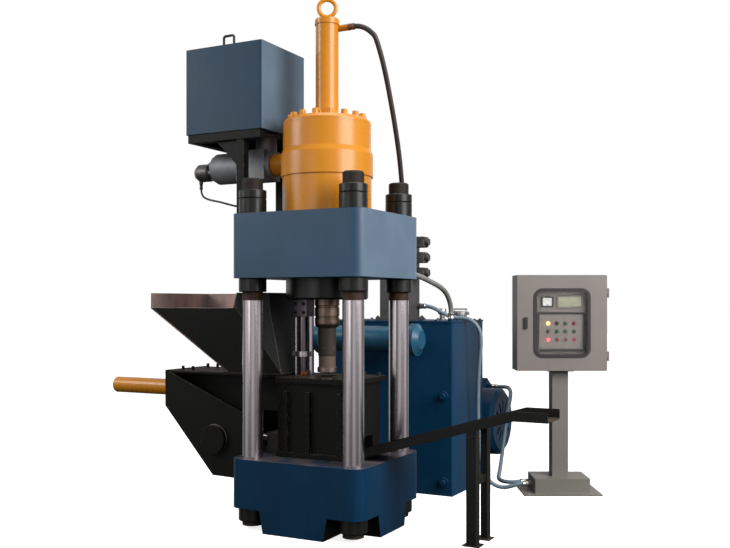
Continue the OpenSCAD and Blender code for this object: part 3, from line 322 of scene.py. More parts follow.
def turned_steel(name, colour, rough=(0.2, 0.36), grain=(1, 1, 90), contrast=0.86, stain=0.25,
                 bands=(), relief=0.03):
    """Bright metal with the fine rings of its turning, oily stains and dull bands between heights."""
    f = Finish(name)
    rings = f.noise(9, 3, stretch=grain)
    oil = f.noise(4.5, 5, stretch=(1, 1, 0.35))
    spots = f.noise(55, 5)
    body = f.blend(f.span(rings, 0.3, 0.7), shaded(colour, contrast), colour)
    body = f.blend(f.times(f.span(oil, 0.56, 0.78), stain), body, shaded(colour, 0.42))
    body = f.blend(f.times(f.span(spots, 0.68, 0.76), stain), body, press_colours().rust)
    level = f.span(rings, 0.3, 0.7, *rough)
    metal = 1.0
    for low, high, tone in bands:
        band = f.times(f.between(low, high), f.span(f.noise(24, 5), 0.1, 0.36))
        body = f.blend(band, body, tone)
        level = f.math("MAXIMUM", level, f.times(band, 0.7))
        metal = f.math("SUBTRACT", metal, f.times(band, 0.75))
    f.set(Base_Color=body, Roughness=level, Metallic=metal,
          Normal=f.bump(rings, relief, 0.0002, f.rounded(0.0015)))
    return f.material


def cast_metal(name, colour, metallic=0.35, rough=(0.45, 0.7), worn=0.45):
    """Rough dark casting or worked tool steel, with dust in its level places."""
    f = Finish(name)
    patch = f.noise(6, 5)
    sand = f.noise(120, 4)
    body = f.blend(f.span(patch, 0.35, 0.7), shaded(colour, 0.6), colour)
    dusty = f.times(f.level(), f.span(patch, 0.35, 0.65), 0.4)
    body = f.blend(dusty, body, press_colours().dust)
    soft = f.rounded(0.003)
    bright = f.times(f.rim(soft), f.span(sand, 0.4, 0.6), worn)
    body = f.blend(bright, body, lightened(colour, 3, 0.1))
    f.set(Base_Color=body, Roughness=f.span(sand, 0.3, 0.7, *rough), Metallic=metallic,
          Normal=f.bump(sand, 0.25, 0.0012, soft))
    return f.material


def powder_coat(name, colour, dust=0.25):
    """Fine-textured powder coat on sheet metal."""
    f = Finish(name)
    cloud = f.noise(2.4, 4)
    pebble = f.noise(420, 2)
    body = f.blend(f.span(cloud, 0.35, 0.7), shaded(colour, 0.88), colour)
    body = f.blend(f.times(f.span(pebble, 0.5, 0.8), 0.12), body, shaded(colour, 0.6))
    dusty = f.times(f.level(), f.span(f.noise(9, 5), 0.35, 0.7), dust)
    body = f.blend(dusty, body, press_colours().dust)
    f.set(Base_Color=body, Roughness=f.span(pebble, 0.3, 0.7, 0.42, 0.6),
          Normal=f.bump(pebble, 0.18, 0.0006, f.rounded(0.004)))
    return f.material


def moulded(name, colour, rough=(0.35, 0.55), glow=0.0, glow_colour=None):
    """Moulded plastic or rubber with a fine grain. A lit lens also glows."""
    f = Finish(name)
    grain = f.noise(260, 3)
    cloud = f.noise(14, 4)
    body = f.blend(f.span(cloud, 0.3, 0.7), shaded(colour, 0.75), colour)
    f.set(Base_Color=body, Roughness=f.span(grain, 0.3, 0.7, *rough), Normal=f.bump(grain, 0.12, 0.0005))
    if glow:
        f.set(Emission_Color=(*glow_colour, 1), Emission_Strength=glow)
    return f.material


def clear_window(name):
    f = Finish(name)
    smear = f.noise(6, 4)
    f.set(Base_Color=(0.97, 0.98, 0.97, 1), Roughness=f.span(smear, 0.35, 0.75, 0.02, 0.1),
          Transmission_Weight=1.0, IOR=1.1)
    return f.material


def hopper_sheet(name):
    """Black outside; inside scoured brown and grey by the chips."""
    f = Finish(name)
    black = press_colours().black
    low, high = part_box("hopper")
    middle = ((low.x + high.x) / 2, 0, low.z + 0.9 * (high.z - low.z))
    inner = f.span(f.dot(f.surface, f.away(middle)), 0.01, -0.02)
    scour = f.noise(5, 6, stretch=(1, 1, 0.4))
    grit = f.noise(90, 4)
    outside = f.blend(f.span(f.noise(3, 5), 0.35, 0.7), shaded(black, 0.6), black)
    inside = f.blend(f.span(scour, 0.38, 0.62), paint_tone(196, 158, 148), paint_tone(142, 124, 120))
    inside = f.blend(f.times(f.span(grit, 0.55, 0.7), 0.5), inside, paint_tone(206, 178, 162))
    body = f.blend(inner, outside, inside)
    soft = f.rounded(0.005)
    bright = f.times(f.rim(soft), f.span(grit, 0.3, 0.5), 0.8)
    body = f.blend(bright, body, paint_tone(190, 176, 164))
    f.set(Base_Color=body, Roughness=f.span(grit, 0.3, 0.7, 0.45, 0.75),
          Normal=f.bump(grit, 0.2, 0.001, soft))
    return f.material


def strut_chrome(name):
    """Dark polished post with a bronze foot."""
    f = Finish(name)
    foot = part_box("hold_down_post")[0].z
    foot_height = 0.024
    smear = f.noise(7, 4, stretch=(1, 1, 0.3))
    body = f.blend(f.span(smear, 0.3, 0.7), paint_tone(74, 70, 74), paint_tone(110, 106, 112))
    body = f.blend(f.between(foot - 0.01, foot + foot_height), body, paint_tone(150, 92, 52))
    f.set(Base_Color=body, Roughness=f.span(smear, 0.3, 0.7, 0.16, 0.26), Metallic=0.95,
          Normal=f.rounded(0.002))
    return f.material


def punch_finish(name):
    """Brown with heat and oil at the shaft and the waist, brighter at the working head."""
    low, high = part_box("punch")
    head = low.z + 0.036
    waist = low.z + 0.114
    bands = ((head, waist, paint_tone(96, 78, 68)), (waist, high.z + 0.01, paint_tone(48, 39, 33)))
    return turned_steel(name, paint_tone(134, 118, 110), rough=(0.3, 0.45), contrast=0.8, stain=0.3,
                        bands=bands)


def column_finish(name):
    """Polished between base and beam, rusty at the bare thread, black with grease on the studs above the
    nuts, and dark as painted shade in the base's nut pockets.
    """
    colours = press_colours()
    low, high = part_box("columns")
    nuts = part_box("column_nuts")[1].z
    under_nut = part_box("upper_beam")[0].z - UNDER_NUT
    bands = ((under_nut - THREAD_BAND - 0.004, under_nut, colours.rust),
             (nuts, high.z + 0.01, colours.grease_and_shade),
             # Painted shade: the column's end in the base's nut pocket takes the dark grease colour
             (low.z - 0.01, POCKET, colours.grease_and_shade))
    return turned_steel(name, colours.steel, rough=(0.23, 0.26), grain=(1, 1, 10), contrast=0.97,
                        stain=0.05, bands=bands, relief=0.0)


def slot_finishes():
    """The finish of each material slot."""
    colours = press_colours()
    return {
        # The walls of the base's nut pockets take painted shade, darkened to black
        "base_blue": enamel("deep_blue_enamel", colours.base_blue, dust=0.6, edge_wear_and_light=0.5, sheen=0.15,
                            painted_shade=nut_pocket_shade),
        # The beam's +X side takes painted light
        "beam_blue": enamel("beam_blue_enamel", colours.beam_blue, gloss=(0.34, 0.52), dust=0.25,
                            side_light=0.26),
        "unit_blue": enamel("unit_blue_enamel", colours.unit_blue, gloss=(0.28, 0.46), dust=0.3,
                            sheen=0.13),
        "cylinder_yellow": enamel("yellow_enamel", colours.yellow, gloss=(0.22, 0.38), dust=0.12,
                                  shade=0.9, bare=paint_tone(120, 74, 20), grime=0.1),
        "column_steel": turned_steel("ground_rod_steel", colours.steel),
        "nut_black": enamel("satin_black_nuts", colours.black, gloss=(0.26, 0.42), dust=0.25, edge_wear_and_light=0.6,
                            bare=paint_tone(96, 90, 86), sheen=0.3),
        "holder_steel": turned_steel("stained_turned_steel", paint_tone(116, 98, 86), rough=(0.26, 0.42),
                                     grain=(1, 1, 14), contrast=0.6, stain=0.5),
        "post_steel": strut_chrome("dark_strut"),
        "tool_steel": cast_metal("dark_tool_steel", paint_tone(58, 55, 53), metallic=0.7, rough=(0.3, 0.5)),
        # Strong pale edges: partly worn paint, partly a painted highlight along the bracket's lit plate
        # edges
        "frame_black": enamel("dusty_black_paint", colours.black, gloss=(0.42, 0.62), dust=0.3, edge_wear_and_light=0.8,
                              edge=0.005, bare=paint_tone(138, 130, 120), sheen=0.12),
        "hopper_sheet": hopper_sheet("scoured_hopper_sheet"),
        "chute_sheet": enamel("black_chute_paint", colours.black, gloss=(0.35, 0.55), dust=0.4, edge_wear_and_light=0.5,
                              bare=paint_tone(96, 84, 76), sheen=0.2),
        "valve_cast": cast_metal("dark_valve_casting", paint_tone(88, 84, 84)),
        "pilot_grey": cast_metal("grey_pilot_casting", paint_tone(92, 90, 88), metallic=0.5,
                                 rough=(0.35, 0.55)),
        "filler_steel": turned_steel("plated_filler", paint_tone(190, 188, 184), stain=0.3),
        "fan_black": moulded("fan_plastic", paint_tone(34, 34, 34)),
        "cabinet_grey": powder_coat("cabinet_powder_coat", colours.cabinet),
        "stand_grey": powder_coat("stand_powder_coat", colours.stand, dust=0.4),
        "gasket_rubber": moulded("gasket_rubber", paint_tone(42, 30, 30), rough=(0.5, 0.7)),
        "window_clear": clear_window("window_pane"),
        "latch_black": moulded("latch_plastic", paint_tone(26, 22, 22)),
        "panel_white": powder_coat("panel_light_coat", paint_tone(108, 99, 95), dust=0.1),
        "lamp_lens": moulded("lamp_bezel_metal", paint_tone(70, 66, 64), rough=(0.25, 0.4)),
        "button_red": moulded("button_red_plastic", paint_tone(122, 34, 42), rough=(0.2, 0.35)),
        "button_green": moulded("button_green_plastic", paint_tone(92, 36, 46), rough=(0.2, 0.35)),
        "hose_rubber": moulded("hose_rubber_skin", paint_tone(46, 36, 34), rough=(0.45, 0.65)),
        "hose_grey": moulded("return_hose_skin", paint_tone(134, 134, 128), rough=(0.45, 0.62)),
        "cable_black": moulded("cable_skin", paint_tone(30, 29, 29), rough=(0.4, 0.6)),
        "conduit_grey": moulded("conduit_plastic", colours.conduit, rough=(0.35, 0.5)),
    }


def node_finishes():
    """The finish of each part that differs from the rest of its slot."""
    colours = press_colours()
    return {
        "columns": column_finish("polished_columns"),
        "punch": punch_finish("heat_brown_punch"),
        # Prefill tank: painted shade in its darker blue, and painted light on its +X side
        "prefill_tank": enamel("tank_blue_enamel", colours.shaded_tank_blue, gloss=(0.36, 0.55), dust=0.25,
                               sheen=0.2, side_light=0.22),
        "prefill_valve": cast_metal("grey_valve_casting", paint_tone(134, 136, 140)),
        "oil_cooler": enamel("cooler_blue_enamel", colours.cooler_blue, gloss=(0.2, 0.34), dust=0.3),
        "push_button_1": moulded("button_red_lit", paint_tone(250, 90, 100), glow=1.6,
                                 glow_colour=paint_tone(255, 84, 96)),
    }


FINISHES = {}


# Shapes


def settle(name, mesh, material):
    """A finished mesh as a piece of its own on the press's still body."""
    piece = bpy.data.objects.new(name, mesh)
    bpy.context.collection.objects.link(piece)
    if material is not None:
        mesh.materials.clear()
        mesh.materials.append(material)
    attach(piece, STILL)
    return piece


def crease(mesh, degrees):
    """Smooth shading that ends where faces meet at more than an angle."""
    mesh.shade_smooth()
    mesh.set_sharp_from_angle(angle=math.radians(degrees))


def as_mesh(name, bm):
    """Closes a bmesh into a mesh with outward faces."""
    bmesh.ops.remove_doubles(bm, verts=bm.verts, dist=1e-6)
    bmesh.ops.recalc_face_normals(bm, faces=bm.faces)
    mesh = bpy.data.meshes.new(name)
    bm.to_mesh(mesh)
    bm.free()
    crease(mesh, TURNED_CREASE)
    return mesh


def fit(name, shape, sizes, place, finish):
    """A piece of one shape at a place. The sizes stand in the shape's own order."""
    bm = bmesh.new()
    shape(bm, *sizes, place)
    settle(name, as_mesh(name, bm), finish)


def round_points(radius, count):
    turns = (2 * math.pi * k / count for k in range(count))
    return [(radius * math.cos(a), radius * math.sin(a)) for a in turns]


def lathe(bm, profile, place, segments=28):
    """Adds a solid of revolution about the place's own Z. The profile is (radius, height) pairs."""
    rings = []
    for radius, height in profile:
        points = round_points(radius, segments) if radius > 0 else [(0, 0)]
        rings.append([bm.verts.new(place @ Vector((x, y, height))) for x, y in points])
    for low, high in zip(rings, rings[1:]):
        for k in range(segments):
            corners = [low[k % len(low)], low[(k + 1) % len(low)],
                       high[(k + 1) % len(high)], high[k % len(high)]]
            corners = list(dict.fromkeys(corners))
            if len(corners) > 2:
                bm.faces.new(corners)
    for ring in (rings[0], rings[-1]):
        if len(ring) > 1:
            bm.faces.new(ring)


def rounded_loop(width, height, radius):
    """Points round a rectangle whose corners are arcs."""
    steps = 6
    points = []
    for quarter, (sx, sy) in enumerate(((1, 1), (-1, 1), (-1, -1), (1, -1))):
        for k in range(steps + 1):
            a = math.pi / 2 * (quarter + k / steps)
            points.append((sx * (width / 2 - radius) + radius * math.cos(a),
                           sy * (height / 2 - radius) + radius * math.sin(a)))
    return points


def loft(bm, loops, place, closed_ring=False):
    """Skins loops of equal length; a ring joins its last loop to its first, a plate is capped."""
    rows = [[bm.verts.new(place @ Vector((x, y, z))) for x, y in loop] for loop, z in loops]
    pairs = list(zip(rows, rows[1:]))
    if closed_ring:
        pairs.append((rows[-1], rows[0]))
    else:
        bm.faces.new(rows[0])
        bm.faces.new(rows[-1])
    for a, b in pairs:
        for k in range(len(a)):
            bm.faces.new((a[k], a[(k + 1) % len(a)], b[(k + 1) % len(b)], b[k]))


def stepped_loops(width, height, radius, least_radius, steps):
    """Rounded loops drawn in and raised by steps of (inset, height)."""
    return [(rounded_loop(width - 2 * inset, height - 2 * inset, max(radius - inset, least_radius)), z)
            for inset, z in steps]


def bezel(bm, width, height, band, depth, radius, place):
    """A rounded rectangular frame with eased edges that stands on the place's XY plane."""
    edge = 0.0015
    steps = ((0, 0), (0, depth - edge), (edge, depth),
             (band - edge, depth), (band, depth - edge), (band, 0))
    loft(bm, stepped_loops(width, height, radius, 0.0005, steps), place, closed_ring=True)


def plate(bm, width, height, depth, radius, place, edge=0.001):
    """A rounded rectangular plate with an eased face that stands on the place's XY plane."""
    steps = ((0, 0), (0, depth - edge), (edge, depth))
    loft(bm, stepped_loops(width, height, radius, 0.0004, steps), place)


def smooth_route(points):
    """A smooth line through a route's points, from its first to its last."""
    steps = 8
    p = [Vector(q) for q in points]
    p = [2 * p[0] - p[1], *p, 2 * p[-1] - p[-2]]
    line = []
    for a, b, c, d in zip(p, p[1:], p[2:], p[3:]):
        for k in range(steps):
            t = k / steps
            line.append(0.5 * (2 * b + (c - a) * t + (2 * a - 5 * b + 4 * c - d) * t ** 2
                               + (3 * b - a - 3 * c + d) * t ** 3))
    line.append(p[-2])
    return line


# Geometry Nodes trees


def new_tree(name, lengths, counts=()):
    """An empty tree: geometry, lengths, counts and a material go in, geometry comes out."""
    tree = bpy.data.node_groups.new(name, "GeometryNodeTree")
    inputs = [("Geometry", "Geometry"), *((label, "Float") for label in lengths),
              *((label, "Int") for label in counts), ("Material", "Material")]
    for label, kind in inputs:
        tree.interface.new_socket(label, in_out="INPUT", socket_type="NodeSocket" + kind)
    tree.interface.new_socket("Geometry", in_out="OUTPUT", socket_type="NodeSocketGeometry")
    return tree, tree.nodes.new("NodeGroupInput").outputs, tree.nodes.new("NodeGroupOutput").inputs


def end_tree(tree, source, given, out):
    real = wire_up(tree, "GeometryNodeRealizeInstances", {"Geometry": source})
    dressed = wire_up(tree, "GeometryNodeSetMaterial", {"Geometry": real[0], "Material": given["Material"]})
    tree.links.new(dressed[0], out[0])
    return tree


def bolt_heads_tree():
    """Hexagon heads on washers, one on each point, turned to the point's axis."""
    tree, given, out = new_tree("BoltHeads", ("Head width", "Head height"))
    join = tree.nodes.new("GeometryNodeJoinGeometry")
    # Sides, radius as a share of the head's width, thickness as a share of its height
    for sides, wide, tall in ((6, 0.577, 1.0), (20, 0.72, 0.22)):
        radius = multiplied(tree, given["Head width"], wide)
        depth = multiplied(tree, given["Head height"], tall)
        disc = wire_up(tree, "GeometryNodeMeshCylinder", {
            "Vertices": sides, "Radius": radius, "Depth": depth})
        lift = wire_up(tree, "ShaderNodeCombineXYZ", {"Z": multiplied(tree, depth, 0.5)})
        raised = wire_up(tree, "GeometryNodeTransform", {"Geometry": disc[0], "Translation": lift[0]})
        tree.links.new(raised[0], join.inputs[0])
    axis = wire_up(tree, "GeometryNodeInputNamedAttribute", {"Name": "axis"}, data_type="FLOAT_VECTOR")
    turn = wire_up(tree, "FunctionNodeAlignRotationToVector", {"Vector": axis[0]}, axis="Z")
    placed = wire_up(tree, "GeometryNodeInstanceOnPoints", {
        "Points": given["Geometry"], "Instance": join.outputs[0], "Rotation": turn[0]})
    return end_tree(tree, placed[0], given, out)


def thread_tree():
    """A stack of crests at each point, a pitch apart."""
    tree, given, out = new_tree("ThreadCrests", ("Radius", "Crest", "Pitch"), ("Count",))
    ring, wire = (wire_up(tree, "GeometryNodeCurvePrimitiveCircle", {
        "Resolution": sides, "Radius": given[radius]}) for sides, radius in ((48, "Radius"), (6, "Crest")))
    crest = wire_up(tree, "GeometryNodeCurveToMesh", {"Curve": ring[0], "Profile Curve": wire[0]})
    step = wire_up(tree, "ShaderNodeCombineXYZ", {"Z": given["Pitch"]})
    line = wire_up(tree, "GeometryNodeMeshLine", {"Count": given["Count"], "Offset": step[0]})
    stack = wire_up(tree, "GeometryNodeInstanceOnPoints", {"Points": line[0], "Instance": crest[0]})
    placed = wire_up(tree, "GeometryNodeInstanceOnPoints", {
        "Points": given["Geometry"], "Instance": stack[0]})
    return end_tree(tree, placed[0], given, out)


def ribbed_run_tree():
    """A tube along a line whose rings swell by turns: hoses, conduits, weld beads and bent bar."""
    tree, given, out = new_tree("RibbedRun", ("Radius", "Pitch", "Rib", "Uneven"), ("Sides",))
    step = multiplied(tree, given["Pitch"], 0.5)
    run = wire_up(tree, "GeometryNodeResampleCurve", {
        "Curve": given["Geometry"], "Length": step}, mode="LENGTH")
    index = wire_up(tree, "GeometryNodeInputIndex", {})[0]
    sunk = multiplied(tree, worked_out(tree, "MODULO", index, 2.0), given["Rib"])
    chance = wire_up(tree, "FunctionNodeRandomValue", {"Seed": 7})
    loose = multiplied(tree, chance[1], given["Uneven"])
    swell = worked_out(tree, "SUBTRACT", 1.0, worked_out(tree, "ADD", sunk, loose))
    ring = wire_up(tree, "GeometryNodeCurvePrimitiveCircle", {
        "Resolution": given["Sides"], "Radius": given["Radius"]})
    skin = wire_up(tree, "GeometryNodeCurveToMesh", {
        "Curve": run[0], "Profile Curve": ring[0], "Scale": swell, "Fill Caps": True})
    return end_tree(tree, skin[0], given, out)


TREES = {}


def grow(name, carrier, maker, values, degrees):
    """Runs a tree on a carrier object and keeps the result as a plain mesh piece."""
    if maker not in TREES:
        TREES[maker] = maker()
    bpy.context.collection.objects.link(carrier)
    modifier = carrier.modifiers.new("Grow", "NODES")
    modifier.node_group = TREES[maker]
    for item in TREES[maker].interface.items_tree:
        if item.in_out == "INPUT" and item.name in values:
            modifier[item.identifier] = values[item.name]
    bpy.context.view_layer.update()
    grown = carrier.evaluated_get(bpy.context.evaluated_depsgraph_get())
    mesh = bpy.data.meshes.new_from_object(grown)
    mesh.name = name
    bpy.data.objects.remove(carrier)
    crease(mesh, degrees)
    return settle(name, mesh, None)


def point_carrier(places):
    """Points with the way that each one faces."""
    mesh = bpy.data.meshes.new("places")
    mesh.from_pydata([tuple(point) for point, axis in places], [], [])
    facing = mesh.attributes.new("axis", "FLOAT_VECTOR", "POINT")
    for item, (point, axis) in zip(facing.data, places):
        item.vector = axis
    return bpy.data.objects.new("places", mesh)


def line_carrier(lines, cyclic):
    curve = bpy.data.curves.new("lines", "CURVE")
    curve.dimensions = "3D"
    for line in lines:
        spline = curve.splines.new("POLY")
        spline.points.add(len(line) - 1)
        for point, place in zip(spline.points, line):
            point.co = (*place, 1)
        spline.use_cyclic_u = cyclic
    return bpy.data.objects.new("lines", curve)


def bolt_group(name, places, width, slot, height=0.62):
    """Bolt heads at places. The height is a share of the head's width."""
    values = {"Head width": width, "Head height": width * height, "Material": FINISHES[slot]}
    grow(name, point_carrier(places), bolt_heads_tree, values, BOLT_CREASE)


def tube(name, lines, slot, radius, pitch, rib=0.0, uneven=0.0, sides=12, cyclic=False, finish=None):
    """Tubes along lines. Every second ring is drawn in by the rib's share, and each by a chance share."""
    values = {"Radius": radius, "Pitch": pitch, "Rib": rib, "Uneven": uneven, "Sides": sides,
              "Material": finish or FINISHES[slot]}
    return grow(name, line_carrier(lines, cyclic), ribbed_run_tree, values, RUN_CREASE)


def grid_places(xs, ys, zs, axis):
    """Places at every meeting of the given coordinates, all facing along an axis."""
    return [(Vector(point), axis) for point in product(xs, ys, zs)]


def ring_places(centre, axis, radius, count):
    """Places round a flange, turned by half a step, all facing along its axis."""
    side = axis.orthogonal().normalized()
    up = axis.cross(side)
    turns = (2 * math.pi * (k + 0.5) / count for k in range(count))
    return [(centre + radius * (math.cos(a) * side + math.sin(a) * up), axis) for a in turns]


# Places taken from the frame


def joint(name):
    return next(j for j in frame["record"]["behaviour"]["joints"] if j["name"] == name)


def cabinet_frame():
    """Matrix of the cabinet's own frame: x across, y from the door backwards, z up from the floor."""
    latch = joint("latch_turn")
    axis, point = latch["axis"], Vector(latch["pos_m"])
    turn = Matrix.Rotation(math.atan2(-axis[0], axis[1]), 4, "Z")
    door_width = 0.716
    latch_inset = 0.068
    place = point - turn @ Vector((latch_inset - door_width / 2, 0, 0))
    place.z = 0
    return Matrix.Translation(place) @ turn


def on_panel(x, depth, z):
    """A place on the cabinet whose XY plane faces the operator."""
    return cabinet_frame() @ Matrix.Translation((x, depth, z)) @ Matrix.Rotation(math.pi / 2, 4, "X")


# Operators


class PressOperator(bpy.types.Operator):
    bl_options = {"REGISTER", "UNDO"}


class CHIP_PRESS_OT_finishes(PressOperator):
    """Give every part of the press its paint or metal"""
    bl_idname = "chip_press.finishes"
    bl_label = "Finishes"

    def execute(self, context):
        FINISHES.update(slot_finishes())
        special = node_finishes()
        for part in frame["record"]["subparts"]:
            node = part["node"]
            mesh = frame["nodes"][node].data
            mesh.materials.clear()
            mesh.materials.append(special.get(node) or FINISHES[part["material_slot"]])
        return {"FINISHED"}


# Routes of the hoses and conduits, in metres
ROUTES = {
    "quick_hose": (0.036, "hose_rubber", "stiff", [
        (0.150, 0.040, 3.430), (0.190, 0.040, 3.430), (0.235, 0.043, 3.424), (0.277, 0.052, 3.406),
        (0.310, 0.066, 3.379), (0.332, 0.081, 3.348), (0.346, 0.112, 3.278), (0.355, 0.165, 3.170),
        (0.359, 0.235, 3.020), (0.360, 0.330, 2.800), (0.356, 0.420, 2.570), (0.342, 0.505, 2.330),
        (0.324, 0.590, 2.135), (0.298, 0.690, 2.005), (0.248, 0.795, 1.935), (0.180, 0.890, 1.912),
        (0.105, 0.975, 1.910), (0.042, 1.055, 1.910), (0.000, 1.130, 1.910), (-0.020, 1.190, 1.910),
        (-0.020, 1.236, 1.910)]),
    "return_hose": (0.040, "hose_grey", "stiff", [
        (0.360, 0.500, 1.740), (0.360, 0.560, 1.740), (0.366, 0.660, 1.735), (0.378, 0.780, 1.716),
        (0.394, 0.900, 1.688), (0.408, 1.007, 1.660), (0.416, 1.093, 1.631), (0.420, 1.152, 1.598),
        (0.420, 1.197, 1.561), (0.420, 1.226, 1.525), (0.420, 1.245, 1.483), (0.420, 1.251, 1.437),
        (0.420, 1.251, 1.404)]),
    "pilot_cable": (0.015, "cable_black", "medium", [
        (-1.080, 0.000, 2.416), (-1.080, 0.000, 2.384), (-1.068, -0.008, 2.340), (-1.030, -0.026, 2.308),
        (-0.960, -0.046, 2.284), (-0.860, -0.060, 2.262), (-0.760, -0.055, 2.235), (-0.660, -0.040, 2.212),
        (-0.560, -0.020, 2.190), (-0.480, 0.000, 2.170), (-0.430, 0.000, 2.160), (-0.380, 0.000, 2.158),
        (-0.320, 0.000, 2.158)]),
    "tank_conduit": (0.034, "conduit_grey", "medium", [
        (0.077, 1.440, 1.500), (0.115, 1.440, 1.500), (0.180, 1.440, 1.488), (0.250, 1.442, 1.455),
        (0.320, 1.444, 1.422), (0.380, 1.446, 1.408), (0.440, 1.450, 1.404), (0.497, 1.452, 1.393),
        (0.546, 1.454, 1.360), (0.578, 1.458, 1.312), (0.590, 1.463, 1.254), (0.588, 1.470, 1.180),
        (0.576, 1.482, 1.080), (0.560, 1.498, 0.940), (0.548, 1.516, 0.780), (0.540, 1.538, 0.600),
        (0.538, 1.562, 0.420), (0.546, 1.584, 0.260), (0.572, 1.602, 0.140), (0.618, 1.612, 0.066),
        (0.680, 1.620, 0.032), (0.744, 1.630, 0.028), (0.804, 1.637, 0.046), (0.858, 1.655, 0.062),
        (0.912, 1.682, 0.062)]),
    "motor_conduit": (0.034, "conduit_grey", "medium", [
        (0.356, 2.410, 0.768), (0.400, 2.410, 0.768), (0.460, 2.398, 0.770), (0.520, 2.360, 0.768),
        (0.565, 2.290, 0.740), (0.588, 2.210, 0.680), (0.592, 2.130, 0.575), (0.592, 2.078, 0.455),
        (0.591, 2.032, 0.340), (0.590, 1.992, 0.235), (0.590, 1.955, 0.150), (0.592, 1.926, 0.107),
        (0.599, 1.885, 0.076), (0.613, 1.837, 0.060), (0.646, 1.782, 0.053), (0.700, 1.744, 0.050),
        (0.765, 1.734, 0.054), (0.826, 1.750, 0.062), (0.866, 1.770, 0.062)]),
}


class CHIP_PRESS_OT_hoses(PressOperator):
    """Run the hoses, the cable and the ribbed conduits along their routes"""
    bl_idname = "chip_press.hoses"
    bl_label = "Hoses and conduits"

    def execute(self, context):
        conduit = {"pitch": press_sizes().rib_pitch, "rib": 0.11}
        braid = {"pitch": 0.012, "rib": 0.035}
        for name, (width, slot, stiffness, points) in ROUTES.items():
            line = smooth_route(points)
            skin = conduit if slot == "conduit_grey" else braid
            piece = tube(name + "_run", [line], slot, width / 2, sides=20, **skin)
            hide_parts(name)
        return {"FINISHED"}


class CHIP_PRESS_OT_threads(PressOperator):
    """Cut the column threads that show under the beam and above the nuts"""
    bl_idname = "chip_press.threads"
    bl_label = "Column threads"

    def execute(self, context):
        colours, sizes = press_colours(), press_sizes()
        low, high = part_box("columns")
        beam_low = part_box("upper_beam")[0].z
        nuts_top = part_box("column_nuts")[1].z
        radius = 0.0695
        chamfer = 0.008
        xs = (low.x + COLUMN_R, high.x - COLUMN_R)
        ys = (low.y + COLUMN_R, high.y - COLUMN_R)
        runs = {"lower_thread": (beam_low - UNDER_NUT - THREAD_BAND, THREAD_BAND, colours.rust),
                "stud_thread": (nuts_top, high.z - chamfer - nuts_top, colours.grease_and_shade)}
        for name, (start, length, tone) in runs.items():
            places = grid_places(xs, ys, (start + sizes.thread_pitch / 2,), UP)
            metal = cast_metal(name + "_metal", tone, metallic=0.2, rough=(0.5, 0.7), worn=0.08)
            values = {"Radius": radius, "Crest": sizes.thread_wire, "Pitch": sizes.thread_pitch,
                      "Count": int(length / sizes.thread_pitch), "Material": metal}
            grow(name, point_carrier(places), thread_tree, values, THREAD_CREASE)
        return {"FINISHED"}


